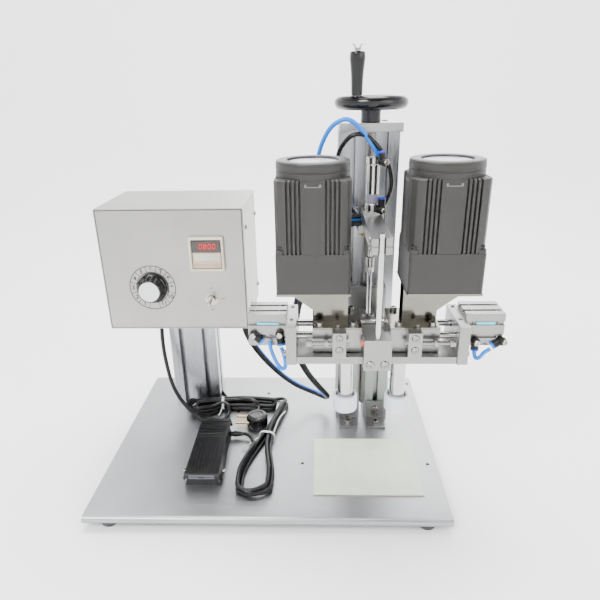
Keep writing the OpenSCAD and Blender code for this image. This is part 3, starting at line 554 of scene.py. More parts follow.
hose_route = [
    (-50, 78, 200), (-50, 78, 186), (-51, 80, 168), (-48, 81, 150), (-40, 82, 130), (-26, 84, 106),
    (-9, 86, 83), (11, 88, 61), (33, 90, 43), (54, 92, 31), (70, 90, 25), (80, 83, 24), (85, 73, 28),
    (84, 63, 37), (77, 56, 50), (65, 51, 68), (54, 47, 86), (45, 43, 105), (38, 39, 126), (34, 33, 150),
    (33, 26, 176), (35, 19, 204), (40, 12, 232), (48, 6, 260), (60, 1, 286), (74, -1, 312),
    (88, -2, 336), (104, -2, 353), (118, -2, 361), (131.9, -2, 362),
]


def along(stations, side, inset, height, r, ends):
    """One strand of a hank, from its first station to its last: `inset` strands in from that side's edge."""
    points = []
    for i in range(ends[0], ends[1] + 1):
        x, y, half = stations[i]
        before, after = stations[max(i - 1, 0)], stations[min(i + 1, len(stations) - 1)]
        t = Vector((after[0] - before[0], after[1] - before[1])).normalized()
        off = side * max(half - r - 2 * r * inset, 0)
        points.append(Vector((x - t.y * off, y + t.x * off, height)))
    return points


def fold(a, b, outward, reach, r):
    """Three points that carry a strand round the end of a hank."""
    mid = (a + b) / 2
    out = Vector((*outward, 0)).normalized()
    bow = max((a - b).length / 2, r)
    return [
        a + out * bow * 0.6 * reach + (mid - a) * 0.12,
        mid + out * bow * reach,
        b + out * bow * 0.6 * reach + (mid - b) * 0.12,
    ]


def mains_line():
    """The mains cord from the box to its plug, through eight strands of its hank."""
    r = MAINS_R
    last = len(mains_hank) - 1
    # side (+1 is the back), strands in from the edge, height, how far its left loop reaches
    strands = [
        (-1, 0, 16.5), (1, 0, 3.4), (-1, 0, 3.4), (1, 0, 10), (-1, 0, 10), (1, 0, 16.6), (-1, 1, 3.4),
        (1, 1, 16.6),
    ]
    reaches = [1.15, 1.9, 1.5, 1.0]
    points = [Vector(p) for p in mains_route[:-1]] + [Vector((-88, 66, 13))]
    runs = [along(mains_hank, *s, r, (0, last)) for s in strands]
    points += runs[0][2::-1]
    for i in range(1, len(strands)):
        a = points[-1]
        if i % 2:
            rise = Vector((0, 0, 10 if i == 3 else 0))
            turn = fold(a, runs[i][0], (-1, -0.15), reaches[i // 2], r)
            points += [p + rise for p in turn]
            points += runs[i]
        else:
            points += fold(a, runs[i][-1], (1, -0.1), 0.9, r)
            points += runs[i][::-1]
    points = points[: -len(runs[-1])] + runs[-1][:4] + [Vector((-52, 75, 20)), Vector((-41, 71, 19))]
    points += [Vector(p) for p in mains_tail]
    return smooth_path(points, 3.0)


def pedal_line():
    """The pedal's cord: the hank has seven strands and a half, then the tail runs to the box."""
    r = PEDAL_R
    last = len(pedal_hank) - 1
    # side (+1 is the left), strands in from the edge, height
    strands = [
        (1, 0, 14), (-1, 0, 2.9), (1, 0, 2.9), (-1, 0, 8.5), (1, 1, 2.9), (-1, 1, 8.5), (1, 0, 8.5),
        (-1, 1, 14),
    ]
    runs = [along(pedal_hank, *s, r, (0, last)) for s in strands]
    points = [Vector(p) for p in pedal_route[:-1]] + [Vector((-31, -38, 11))]
    points += runs[0][2::-1]
    for i in range(1, len(strands)):
        a = points[-1]
        if i % 2:
            points += fold(a, runs[i][0], (0, -1), 0.95, r) + runs[i]
        else:
            points += fold(a, runs[i][-1], (0.25, 1), 1.2, r) + runs[i][::-1]
    points += [Vector(p) for p in pedal_tail]
    return smooth_path(points, 3.0)


def add_cord(name, line, r, material, body, replaced=()):
    """A round cord along a line, shown in place of its CAD nodes."""
    bm = bmesh.new()
    add_tube(bm, line, r, 12)
    obj = piece(name, bm, material, body, angle=70, even=False)
    if replaced:
        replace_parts(obj, *replaced)


def add_band(bm, ring_points, across, thick, m=0):
    """A flat closed band through a ring of points, `across` wide along its axis."""
    line = [Vector(p) for p in ring_points]
    centre = sum(line, Vector()) / len(line)
    axis = (line[1] - line[0]).cross(line[2] - line[0]).normalized()
    rings = []
    for p in line:
        out = (p - centre).normalized()
        rings.append([
            p + axis * across / 2, p + out * thick + axis * across * 0.35,
            p + out * thick - axis * across * 0.35, p - axis * across / 2,
        ])
    add_rings(bm, rings, m, closed=True)


def tie_ring(centre, along_dir, half_w, low, high):
    """Points round a bundle of cords: a rounded rectangle square to its direction."""
    t = Vector((*along_dir, 0)).normalized()
    side = Vector((-t.y, t.x, 0))
    points = []
    for x, y in rounded(2 * half_w, high - low, min(half_w, (high - low) / 2) * 0.9, 6):
        points.append(Vector((centre[0], centre[1], (low + high) / 2)) + side * x + Vector((0, 0, y)))
    return points


def hank_tie(name, centre, along_dir, half_w, high, ears):
    """A plastic-coated wire tie round a hank, with its two twisted ends."""
    bm = bmesh.new()
    add_band(bm, tie_ring(centre, along_dir, half_w, 0.4, high), 4.2, 0.9)
    for ear in ears:
        line = smooth_path(ear, 2.0)
        add_tube(bm, line, 1.1, 8)
    return piece(name, bm, TIE, "base", angle=50, even=False)


def mains_plug():
    """Round two-pin plug with a ribbed rim, lying on its flat side."""
    low, high = span("mains_plug")
    r = (high.y - low.y) / 2
    x, y = high.x - r, (high.y + low.y) / 2
    bm = bmesh.new()

    def ribbed(base):
        return lambda a: base + 0.55 * math.cos(24 * a)

    profile = [
        (r * 0.80, 0), (r * 0.9, 0.7), (ribbed(r - 1.2), 2.2), (ribbed(r - 0.7), 5),
        (ribbed(r - 0.7), 17), (ribbed(r - 1.6), 20.5),
        (r * 0.84, 22), (r * 0.62, 23.2), (r * 0.55, 23), (r * 0.5, 22.2), (r * 0.2, 22),
    ]
    add_lathe(bm, (x, y, 0), UP, profile, 144)
    # Moulded sleeve where the cord goes in
    sleeve = [
        (4.9, 0), (4.9, 3), (4.3, 3.4), (4.3, 4.6), (4.7, 5), (4.5, 8), (3.9, 8.4), (3.9, 9.4),
        (4.2, 9.8), (3.5, 12),
    ]
    add_lathe(bm, (x, y + r - 5, 12), (-0.03, 1, 0), sleeve, 24)
    for side in (-9.5, 9.5):
        add_lathe(
            bm, (low.x + 19, y + side, 12), LEFT,
            [(2.9, -6), (2.9, 3), (2.4, 3.2), (2.4, 17.4), (1.9, 18)], 20, m=1,
        )
    plug = piece("mains_plug_body", bm, [GLOSS, BRASS], "base", even=False)
    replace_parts(plug, "mains_plug")
    return plug


def pedal_boot():
    """The pedal's strain relief, ribbed and tapered."""
    low, high = span("pedal_gland")
    bm = bmesh.new()
    at = (low.x, pedal_exit[1], pedal_exit[2])
    profile = [(4.0, 0), (4.0, high.x - low.x - 14)]
    reach = high.x - low.x
    for k in range(5):
        z = reach - 14 + 2.8 * k
        big = 5.3 - 0.38 * k
        profile += [(big, z), (big, z + 1.6), (big - 1.0, z + 1.8), (big - 1.0, z + 2.6)]
    profile.append((2.9, reach))
    add_lathe(bm, at, RIGHT, profile, 24)
    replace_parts(piece("pedal_boot", bm, PEDAL, "base"), "pedal_gland")


def add_cords():
    """The mains cord and the pedal's cord, each with its tied hank."""
    plug = mains_plug()
    mains_tie = hank_tie(
        "mains_tie", (-99, 77.5), (30, 3), 10.8, 20.6,
        [
            [(-99, 67.5, 12), (-100, 64, 8), (-101, 58, 5), (-103, 50, 4)],
            [(-99, 67, 14), (-97, 63, 14), (-96, 60, 11)],
        ],
    )
    add_cord(
        "mains_cord_line", mains_line(), MAINS_R, PVC, "base",
        ["mains_cord", "mains_cord_hank"],
    )
    pedal_boot()
    pedal_tie = hank_tie(
        "pedal_tie", (-12, -16), (8, 42), 12.4, 17.6,
        [
            [(-24, -18, 9), (-30, -24, 8), (-40, -33, 5), (-50, -40, 3)],
            [(-1, -12, 14), (1, 0, 16), (6, 22, 18), (14, 46, 15)],
        ],
    )
    add_cord(
        "pedal_cord_line", pedal_line(), PEDAL_R, PVC, "base",
        ["pedal_cord", "pedal_cord_hank"],
    )


def hose_strand(name, offsets, r, material, wrapped=False):
    """One hose of the service bundle, set off sideways from the bundle's middle."""
    line = smooth_path(hose_route, 4.0)
    last = len(line) - 1
    out = []
    for i, p in enumerate(line):
        s = i / last
        spread = offsets[0] * (1 - s) + offsets[1] * s
        t = (line[min(i + 1, last)] - line[max(i - 1, 0)]).normalized()
        side = Vector(FRONT).cross(t)
        side = side.normalized() if side.length > 0.2 else Vector(RIGHT)
        out.append(p + side * spread)
    bm = bmesh.new()
    if wrapped:
        add_tube(bm, out, r, 14, bulge=lambda i: 1.05 if i % 2 else 0.95)
    else:
        add_tube(bm, out, r, 12)
    obj = piece(name, bm, material, None, angle=80, even=False)
    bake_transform(obj)
    return obj, out


def add_service_bundle():
    """The wrapped bundle, a black hose and a blue tube, in one loop from the box to the lift."""
    strands = [
        ("service_wrap", (0, -5.2), 4.2, WRAP, True),
        ("service_hose_black", (-5.2, 5.2), 3.2, HOSE, False),
        ("service_tube_blue", (2.6, 0.0), 2.0, BLUE_TUBE, False),
    ]
    for name, offsets, r, material, wrapped in strands:
        obj, line = hose_strand(name, offsets, r, material, wrapped)
        if wrapped:
            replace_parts(obj, "service_hose")


add_cords()
add_service_bundle()


# ---- Shared small pieces ----
def add_numeral(bm, text, at, direction, high, m, turn=0.0):
    """A printed number, centred at a point."""
    curve = bpy.data.curves.new("numeral", "FONT")
    curve.body, curve.size, curve.extrude = text, high * 1.4, 0.06
    curve.align_x = curve.align_y = "CENTER"
    curve.offset = 0.04 * high
    obj = bpy.data.objects.new("numeral", curve)
    bpy.context.scene.collection.objects.link(obj)
    mesh = bpy.data.meshes.new_from_object(obj)
    mesh.transform(facing(at, direction, turn))
    before = len(bm.faces)
    bm.from_mesh(mesh)
    bm.faces.ensure_lookup_table()
    for face in bm.faces[before:]:
        face.material_index = m
    bpy.data.objects.remove(obj)
    bpy.data.curves.remove(curve)
    bpy.data.meshes.remove(mesh)


def add_washer(bm, at, direction, r, hole, thick, m=0):
    profile = [(hole, 0), (r, 0), (r, thick * 0.8), (r * 0.96, thick), (hole, thick)]
    add_lathe(bm, at, direction, profile, 32, m, closed=True)


def screws_on(seats, kind="hex", m=0):
    """Screws given as (point, direction, radius, height)."""

    def add(bm):
        for i, (at, direction, r, h) in enumerate(seats):
            add_screw(bm, at, direction, r, h, kind, m, turn=0.3 + 0.7 * i)

    return add


def show(name, bm, materials, node, **how):
    """Shows a new mesh in place of a CAD node."""
    obj = piece(name, bm, materials, frame["nodes"][node]["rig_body"], **how)
    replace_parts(obj, node)
    return obj


# ---- Base and columns ----
HEAD_X = middle("column_top_plate").x


def add_base():
    """The plate with its feet and pad, and the two profile columns."""
    def dots(bm):
        for x, y in [(-22, 128), (-71, 67), (242, 163)]:
            add_lathe(
                bm, (x, y, -0.1), UP, [(3.0, 0), (3.0, 0.35), (2.6, 0.5), (1.2, 0.4), (0.2, 0.2)], 24, 1,
            )

    soften("base_plate", [PLATE, BLACK_STEEL], 0.8, more=dots)
    soften("bottle_pad", PAD, 0.9, 3)
    bm = bmesh.new()
    for x in (-218, 218):
        for y in (-170, 165):
            profile = [(4.4, 0), (10.0, 0), (11.0, 1.0), (12.5, 9.4), (12.5, 10), (4.4, 10)]
            add_lathe(bm, (x, y, -22), UP, profile, 40, closed=True)
            add_screw(bm, (x, y, -15), DOWN, 4.2, 3, "cross", 1)
            add_washer(bm, (x, y, -15), DOWN, 4.4, 1.0, 0.8, 1)
    show("feet", bm, [FOOT, STEEL], "rubber_feet")
    soften("main_column", PROFILE, 0.35)
    soften("box_column", PROFILE, 0.35)
    top = span("column_top_plate")[1].z
    seats = [((HEAD_X + side * 23.5, 72, top), UP, 5, 1.2) for side in (-1, 1)]
    soften("column_top_plate", [MILLED, STEEL], 0.6, more=screws_on(seats, m=1))
    soften("screw_bearing", STEEL, 0.3)
    # Each pair of brackets: their middles across, the foot screw's y, the wall screw's y and the way it faces
    pairs = [((121, 168), 30, 48, FRONT), ((121, 168), 114, 96, BACK), ((-166, -126), 154, 136, BACK)]
    seats = []
    for xs, foot_y, wall_y, out in pairs:
        seats += [((x, foot_y, 4), UP, 4.8, 5) for x in xs] + [((x, wall_y, 22), out, 4.8, 5) for x in xs]
    soften("foot_brackets", [MACHINED, STEEL], 0.5, more=screws_on(seats, m=1))


# ---- Control box ----
# Middles of the things in the control panel
KNOB = Vector((-160, -45.4, 277))
TOGGLE = Vector((-78, -43, 260))
TIMER_X, TIMER_Z = -79.5, 326


def add_box():
    """The box's shell and its front panel with the printed dial."""
    low, high = span("control_box")
    floor = 214

    def shell_details(bm):
        for face in bm.faces:
            if face.calc_center_median().z < floor - 0.3:
                face.material_index = 1
        for x, y, r in [(-190, 66, 10), (-50, 78, 14.5), (-92, 84, 9.5)]:
            nut = [(hexagon(r), 0), (hexagon(r), 5.5), (hexagon(r - 0.6), 6)]
            add_lathe(bm, (x, y, floor), DOWN, nut, 48, 1)
            dome = [(r * 0.86, 0), (r * 0.86, 7), (r * 0.72, 10), (r * 0.5, 11)]
            add_lathe(bm, (x, y, floor - 5), DOWN, dome, 40, 1)
        for y, z in [(88, 352), (88, 235), (-20.9, 357.3), (-20.9, 235)]:
            for x, out in ((high.x, RIGHT), (low.x, LEFT)):
                add_screw(bm, (x, y, z), out, 3.4, 2.0, "cross", 2, turn=0.5)
        # Seam of the rear cover
        for x in (low.x - 0.02, high.x + 0.02):
            add_block(bm, (x - 0.05, high.y - 14, floor), (x + 0.05, high.y - 13.7, high.z), 0.04, 0.02, 3)

    soften("control_box", [SHEET, SATIN, STEEL, INK], 0.5, more=shell_details)

    low, high = span("control_panel")
    w, h = high.x - low.x, high.z - low.z
    at = ((low.x + high.x) / 2, high.y, (low.z + high.z) / 2)
    bm = bmesh.new()
    place = facing(at, FRONT)
    rim = []
    for inset, depth in [(0, 0), (0, 2.6), (0.4, 3.0), (1.2, 3.0), (1.5, 2.7), (1.5, 0)]:
        shape = rounded(w - 2 * inset, h - 2 * inset, 1.2 - inset * 0.5)
        rim.append([place @ Vector((x, y, depth)) for x, y in shape])
    add_rings(bm, rim, 0, closed=True)
    add_slab(bm, at, FRONT, w - 2.8, h - 2.8, 0.8, 0.6, 0.1, 1)
    add_slab(bm, at, FRONT, w - 4.6, h - 4.6, 2.8, 0.8, 0.3, 0)
    # Printed dial: two rings, twelve sectors and the numbers in eleven of them
    face_y = high.y - 2.8
    for r in (32, 22.5):
        add_lathe(
            bm, (KNOB.x, face_y, KNOB.z), FRONT,
            [(r - 0.6, 0), (r + 0.6, 0), (r + 0.6, 0.1), (r - 0.6, 0.1)], 96, 1, closed=True,
        )
    for i in range(12):
        a = math.radians(30 * i + 15)
        mid = 27.25
        spot = (KNOB.x + mid * math.cos(a), face_y, KNOB.z + mid * math.sin(a))
        add_slab(bm, spot, FRONT, 9.4, 0.85, 0.1, 0.05, 0.01, 1, turn=a)
        if i:
            b = math.radians(-90 - 30 * i)
            spot = (KNOB.x + mid * math.cos(b), face_y, KNOB.z + mid * math.sin(b))
            add_numeral(bm, str(i), spot, FRONT, 6.2, 1)
    # Short marks at the toggle's three places
    for x, z in [(0, 16), (0, -16), (16, 0)]:
        add_slab(bm, (TOGGLE.x + x, face_y, TOGGLE.z + z), FRONT, 5, 0.9, 0.08, 0.2, 0.01, 1)
    show("panel_front", bm, [SHEET, INK], "control_panel")


SEGMENTS = {0: "abcdef", 5: "afgcd", 8: "abcdefg"}


def add_digit(bm, number, x, y, z, w, h, m):
    """A seven-segment digit on a face that looks forward."""
    t = w * 0.2
    bars = {
        "a": (0, h / 2, 1), "g": (0, 0, 1), "d": (0, -h / 2, 1),
        "f": (-w / 2, h / 4, 0), "b": (w / 2, h / 4, 0), "e": (-w / 2, -h / 4, 0), "c": (w / 2, -h / 4, 0),
    }
    for key in SEGMENTS[number]:
        dx, dz, level = bars[key]
        wide, high = (w - t, t) if level else (t, h / 2 - t)
        add_slab(bm, (x + dx + dz * 0.08, y, z + dz), FRONT, wide, high, 0.08, t * 0.3, 0.02, m)


def add_timer():
    """The square timer: bezel, red display and six thumbwheels."""
    cx, cz = TIMER_X, TIMER_Z
    bm = cad_copy("timer")
    # The CAD's front is taken away and a shaped bezel stands in its place.
    bmesh.ops.delete(bm, geom=[v for v in bm.verts if v.co.y < -42.5], context="VERTS")
    place = facing((cx, -43, cz), FRONT)
    rings = []
    for half, z, r in [
        (22.5, -1, 2), (24, 0, 2), (24, 4.4, 2), (23.4, 5.4, 1.8), (22.6, 5.9, 1.6), (21.2, 6, 1.4),
        (20.4, 5.2, 1.2), (20.2, 3.0, 1.0),
    ]:
        rings.append([place @ Vector((x, y, z)) for x, y in rounded(2 * half, 2 * half, r)])
    add_rings(bm, rings, 0, caps=(True, False))
    back = -43 - 3.0
    add_slab(bm, (cx, back + 0.6, cz), FRONT, 40.8, 40.8, 1.0, 1.0, 0.1, 1)
    add_slab(bm, (cx, back, cz + 11), FRONT, 38.4, 15.6, 1.5, 0.8, 0.2, 2)
    add_slab(bm, (cx + 1.5, back - 1.45, cz + 11.2), FRONT, 25, 10, 0.12, 0.5, 0.03, 3)
    for i, number in enumerate([0, 8, 0, 0]):
        add_digit(bm, number, cx - 7.4 + 6.0 * i, back - 1.6, cz + 11.2, 3.4, 6.6, 4)
    add_slab(bm, (cx, back, cz - 8.2), FRONT, 38.4, 21.6, 1.3, 0.8, 0.2, 5)
    for i, number in enumerate([0, 0, 5, 0, 0, 8]):
        x = cx - 14 + 5.6 * i
        add_slab(bm, (x, back - 1.25, cz - 4.2), FRONT, 4.4, 8.0, 0.25, 0.5, 0.1, 6)
        add_digit(bm, number, x, back - 1.5, cz - 4.2, 2.3, 5.0, 7)
        add_slab(bm, (x, back - 1.25, cz + 0.9), FRONT, 3.0, 1.1, 0.7, 0.4, 0.2, 5)
        add_slab(bm, (x, back - 1.25, cz - 9.5), FRONT, 3.0, 1.1, 0.7, 0.4, 0.2, 5)
    add_slab(bm, (cx, back - 1.2, cz - 15.2), FRONT, 36, 4.6, 0.3, 0.6, 0.1, 8)
    materials = [CREAM, INK, DARK_WINDOW, WINDOW_RED, DIGIT, BEIGE, WHITE, INK, PINK]
    show("timer_front", bm, materials, "timer")


def add_controls():
    """The toggle switch, the knob and what is behind them in the box."""
    def nut(bm):
        at = (TOGGLE.x, TOGGLE.y, TOGGLE.z)
        add_washer(bm, at, FRONT, 9.2, 6.0, 0.6)
        add_lathe(bm, (at[0], at[1] - 7, at[2]), FRONT, [(6.0, 0), (5.8, 0.6), (3.3, 0.9), (3.1, 0.2)], 40)
        for k in range(4):
            add_lathe(
                bm, (at[0], at[1] - 3.2 - 0.9 * k, at[2]), FRONT, [(5.9, 0), (6.25, 0.4), (5.9, 0.8)], 40,
            )

    soften("panel_controls", NICKEL, 0.3, more=nut)
    bm = bmesh.new()
    at = Vector((TOGGLE.x, -41, TOGGLE.z))
    profile = [(1.8, 0), (1.9, 6), (2.0, 12), (2.6, 20), (2.95, 23), (2.9, 24.6), (2.3, 25.6), (1.2, 26)]
    add_lathe(bm, at, FRONT, profile, 28)
    add_lathe(bm, at - Vector((2.7, 0, 0)), RIGHT, [(2.2, 0), (2.6, 0.4), (2.6, 5.0), (2.2, 5.4)], 24)
    show("toggle", bm, CHROME, "toggle_lever")

    at = KNOB

    def lobed(base, deep):
        return lambda a: base - deep * (0.5 - 0.5 * math.cos(14 * a)) ** 2

    bm = bmesh.new()
    profile = [(20.6, 0), (21, 0.4), (21, 1.6), (20.3, 2.6), (lobed(19.4, 0.6), 3.2), (lobed(18.6, 1.8), 6)]
    profile += [(lobed(17.6, 2.1), 11), (lobed(16.8, 1.6), 13.4), (15.4, 14.6), (14.4, 14.9)]
    add_lathe(bm, at, FRONT, profile, 168)
    disc = [(14.3, 14.2), (14.3, 15.4), (13.9, 15.9), (12.2, 16), (6, 15.9), (0.4, 15.85)]
    add_lathe(bm, at, FRONT, disc, 96, 1)
    add_lathe(bm, at, FRONT, [(3, -16), (3, 0)], 24, 2)
    a = math.radians(203)
    spot = at + Vector((20.2 * math.cos(a), -2.4, 20.2 * math.sin(a)))
    add_slab(bm, spot, FRONT, 1.9, 0.7, 0.4, 0.2, 0.1, 3, turn=a)
    show("knob", bm, [GLOSS, SPUN, STEEL, WHITE], "torque_knob")
    soften("control_board", [BOARD], 0.3)
    seats = [((x, 5, 245), FRONT, 2.6, 1.6) for x in (-70, -48)]
    soften("air_valves", [MACHINED, BLACK_STEEL], 0.6, more=screws_on(seats, m=1))


WINDOW_RED = moulded("window_red", None, (0.14, 0.012, 0.014), 0.2, depth=0.001)
BEIGE = moulded("timer_beige", "cream_plastic", (0.52, 0.42, 0.29), 0.45, depth=0.003)
PINK = moulded("label_pink", None, (0.45, 0.28, 0.23), 0.45, depth=0.002)


def spun_metal():
    n = Nodes("spun_metal", "chrome", (0.62, 0.63, 0.65), 0.25, 1.0)
    n.shader.inputs["Anisotropic"].default_value = 0.8
    rings = n.noise(900, (1, 0.02, 1))
    n.vary_roughness(rings, 0.2, 0.3).bump(rings, 0.002)
    return n.material


SPUN = spun_metal()


# ---- Pedal ----
def add_pedal():
    """The foot pedal with its pin and spring."""
    soften("pedal_base", PEDAL, 0.4)
    low, high = span("pedal_tread")

    def front(bm):
        x = (low.x + high.x) / 2
        # Grey bevelled front with its recess
        add_slab(bm, (x, low.y + 1.2, 17.4), (0, -1, 0.25), 38, 5.6, 1.0, 1.6, 0.4, 1)
        add_slab(bm, (x, low.y + 0.2, 17.6), (0, -1, 0.25), 9, 2.6, 0.3, 1.2, 0.1, 2)

    soften("pedal_tread", [PEDAL, PEDAL_GREY, INK], 0.35, 1, more=front)
    low, high = span("pedal_pin")
    bm = bmesh.new()
    y, z = (low.y + high.y) / 2, (low.z + high.z) / 2
    add_lathe(bm, (low.x + 1, y, z), RIGHT, [(2.5, 0), (2.5, high.x - low.x - 2)], 28)
    add_screw(bm, (high.x - 1.2, y, z), RIGHT, 4.2, 1.7, "cross")
    add_screw(bm, (low.x + 1.2, y, z), LEFT, 4.2, 1.7, "cross")
    show("pedal_pin_skin", bm, STEEL, "pedal_pin")
    low, high = span("pedal_spring")
    x0, x1 = low.x, high.x
    turns = 7
    coil = []
    for i in range(turns * 20 + 1):
        a = 2 * math.pi * i / 20
        x = x0 + 1 + (x1 - x0 - 2) * i / (turns * 20)
        coil.append(Vector((x, y + 3.8 * math.cos(a), z + 3.8 * math.sin(a))))
    bm = bmesh.new()
    add_tube(bm, coil, 0.8, 8)
    show("pedal_coil", bm, STEEL, "pedal_spring")


# ---- Lead screw and handwheel ----
def add_screw_and_wheel():
    """The threaded lead screw, the handwheel and its grip."""
    low, high = span("lead_screw")
    cx, cy = (low.x + high.x) / 2, (low.y + high.y) / 2
    bm = bmesh.new()
    profile = [(2.6, low.z), (5, low.z + 3)]
    z = low.z + 3
    while z < 460:
        profile += [(5.0, z + 0.9), (4.15, z + 1.3), (4.15, z + 2.2), (5.0, z + 2.6)]
        z += 3
    profile += [(5, 467), (8, 467.7), (8, 475.7), (5, 475.7), (5, high.z - 0.5), (4.5, high.z)]
    add_lathe(bm, (cx, cy, 0), UP, profile, 24)
    show("screw_thread", bm, THREAD, "lead_screw")
    bm = bmesh.new()
    centre = Vector((cx, cy, 0))
    wheel_z, ring, low_z = 514, 41, 488.3
    rings = []
    for a in [2 * math.pi * i / 96 for i in range(96)]:
        out = Vector((math.cos(a), math.sin(a), 0))
        rings.append([
            centre + out * (ring + 9 * math.cos(t)) + Vector((0, 0, wheel_z + 9 * math.sin(t)))
            for t in [2 * math.pi * k / 28 for k in range(28)]
        ])
    add_rings(bm, rings, closed=True)
    hub = [
        (13, low_z), (13.6, low_z + 0.6), (13.4, 500), (14.5, 508), (17, 516), (16.6, 518.6),
        (15.4, 519.8), (8, 520), (6.4, 519.2),
    ]
    add_lathe(bm, centre, UP, hub, 64)
    add_lathe(bm, centre, UP, [(6.3, 512), (6.3, 520.4), (5.6, 521)], 40, 1)
    add_screw(bm, (cx, cy, 521), UP, 4.6, 0.9, "cross", 1)
    for i in range(3):
        a = math.radians(237 + 120 * i)
        out = Vector((math.cos(a), math.sin(a), 0))
        line = [
            centre + out * d + Vector((0, 0, h))
            for d, h in [(8, 508), (14, 509.6), (20, 511.4), (27, 512.8), (36, 513.6)]
        ]
        line = smooth_path(line, 2.5)
        last = len(line) - 1
        add_tube(
            bm, line, 5.6, 20,
            bulge=lambda k: 1.32 - 0.6 * math.sin(math.pi * min(1, (k + 2) / last) ** 0.9) * 0.55,
        )
    a = math.radians(237)
    pin = centre + Vector((ring * math.cos(a), ring * math.sin(a), 0))
    add_lathe(bm, pin, UP, [(8.4, 521.4), (8.0, 523.1), (3.2, 523.2)], 36)
    add_lathe(bm, pin, UP, [(3, 514), (3, 578.4), (2.4, 579.3)], 28, 1)
    # The split pin through the end of the grip's pin, with its ends bent outwards
    for side in (-1, 1):
        bend = [
            (0, 576.6), (side * 2.2, 577.0), (side * 3.4, 578.6), (side * 3.2, 580.8),
            (side * 4.4, 582.6), (side * 6.0, 583.6),
        ]
        line = smooth_path([pin + Vector((x, 0, z)) for x, z in bend], 0.8)
        add_tube(bm, line, 1.0, 10, 1)
    show("wheel", bm, [GLOSS, STEEL], "handwheel")
    low, high = span("handwheel_grip")
    bm = bmesh.new()
    at = ((low.x + high.x) / 2, (low.y + high.y) / 2, low.z)
    tall = high.z - low.z
    profile = [
        (3.3, 0), (6.4, 0), (7.0, 0.7), (7.4, 5), (7.6, 14), (8.0, 24), (8.9, 34), (9.9, 42), (10.0, 46),
        (9.7, tall - 2.2), (8.8, tall - 0.4), (7.4, tall), (3.3, tall),
    ]
    add_lathe(bm, at, UP, profile, 64, closed=True)
    show("grip", bm, GLOSS, "handwheel_grip")


THREAD = brushed("screw_metal", "steel", (0.20, 0.19, 0.185), 0.3, 2, 0.004)


# ---- Push-in fittings ----
def add_fitting(bm, at, stud, out, stem):
    """A push-in elbow: a hollow screw along `stud`, a black body and the coloured release ring."""
    m_body, m_ring, m_screw = 0, 1, 2
    at, stud, out = Vector(at), Vector(stud).normalized(), Vector(out).normalized()
    add_lathe(
        bm, at, stud, [(4.6, 0), (4.6, 1.2), (5.6, 1.6), (5.6, 9.6), (4.9, 10.4), (4.6, 10.8)], 32, m_body,
    )
    add_washer(bm, at, stud, 5.8, 3, 1.0, m_screw)
    add_lathe(
        bm, at + stud * 10.6, stud,
        [(hexagon(3.7), 0), (hexagon(3.7), 2.6), (3.3, 3.4), (2.1, 3.5), (2.0, 2.2)], 48, m_screw,
    )
    start = at + stud * 5.6
    add_lathe(
        bm, start, out, [(4.4, 0), (4.4, stem), (5.0, stem + 0.6), (5.0, stem + 8.4), (4.6, stem + 9)],
        32, m_body,
    )
    add_lathe(
        bm, start, out,
        [
            (4.4, stem + 9), (4.4, stem + 9.6), (5.4, stem + 10), (5.4, stem + 11.4), (4.6, stem + 12),
            (3.1, stem + 12),
        ],
        32, m_ring,
    )


def add_free_tube(name, points, r, material, body):
    """An air tube with both ends in the object."""
    line = smooth_path(points, 2.5)
    add_cord(name, line, r, material, body)


# ---- Lift ----
def add_lift():
    """The pieces that ride on the lead screw, with the press cylinder."""
    low, high = span("lift_block")
    seats = [((x, 39, z), out, 3.6, 3.0) for x, out in ((low.x, LEFT), (high.x, RIGHT)) for z in (344, 370)]
    soften("lift_block", [MACHINED, STEEL], 0.7, more=screws_on(seats, m=1))
    soften("lead_nut", BRASS, 0.4)
    low, high = span("lift_clamp")
    seats = [((HEAD_X + x, high.y, z), BACK, 4.6, 5) for x in (-11, 11) for z in (347, 367)]
    soften("lift_clamp", [MACHINED, STEEL], 0.6, more=screws_on(seats, m=1))
    low, high = span("lift_arm")

    def clamp_details(bm):
        # The split front end and the screws that close it
        add_block(bm, (low.x - 0.06, low.y - 0.06, 363.0), (low.x + 7.6, -118, 363.9), 0.05, 0.02, 2)
        add_block(bm, (high.x - 7.6, low.y - 0.06, 363.0), (high.x + 0.06, -118, 363.9), 0.05, 0.02, 2)
        for z in (359, 368):
            add_screw(bm, (low.x, -131, z), LEFT, 2.6, 2.2, "hex", 1)
            add_screw(bm, (high.x, -131, z), RIGHT, 2.6, 2.2, "hex", 1)

    soften("lift_arm", [MACHINED, STEEL, INK], 0.7, more=clamp_details)

    low, high = span("press_cylinder")
    cx, cy = (low.x + high.x) / 2, (low.y + high.y) / 2
    bm = bmesh.new()
    z = low.z
    tall = high.z - z
    profile = [
        (3.3, 0), (hexagon(9.5), 0), (hexagon(9.5), 4), (9.0, 4.4), (9.5, 5), (9.5, 13.4), (9.0, 14),
        (8.2, 14.6), (8.4, 15.2), (8.5, 16), (8.5, 65), (8.2, 65.8), (9.0, 66.4), (9.5, 67),
        (9.5, tall - 1.2), (8.6, tall), (3.3, tall),
    ]
    add_lathe(bm, (cx, cy, z), UP, profile, 72)
    add_screw(bm, (cx, cy, high.z - 0.4), UP, 4, 1.0, "cross")
    add_lathe(bm, (cx, cy, z + 15.4), UP, [(8.55, 0), (8.62, 0.1), (8.62, 12), (8.55, 12.1)], 72, 1)
    show("press_tube", bm, [STEEL_BRIGHT, LABEL], "press_cylinder")
    bm = bmesh.new()
    add_fitting(bm, (cx + 8.8, cy - 4.5, high.z - 6), (0.55, -0.85, 0), (-0.22, 0.1, 1), 2)
    add_fitting(bm, (cx + 8.6, cy - 4.5, z + 7), (0.5, -0.86, 0), (0.05, 0.1, 1), 5)
    piece("press_fittings", bm, [SATIN, DEEP_BLUE, NICKEL], "lift")


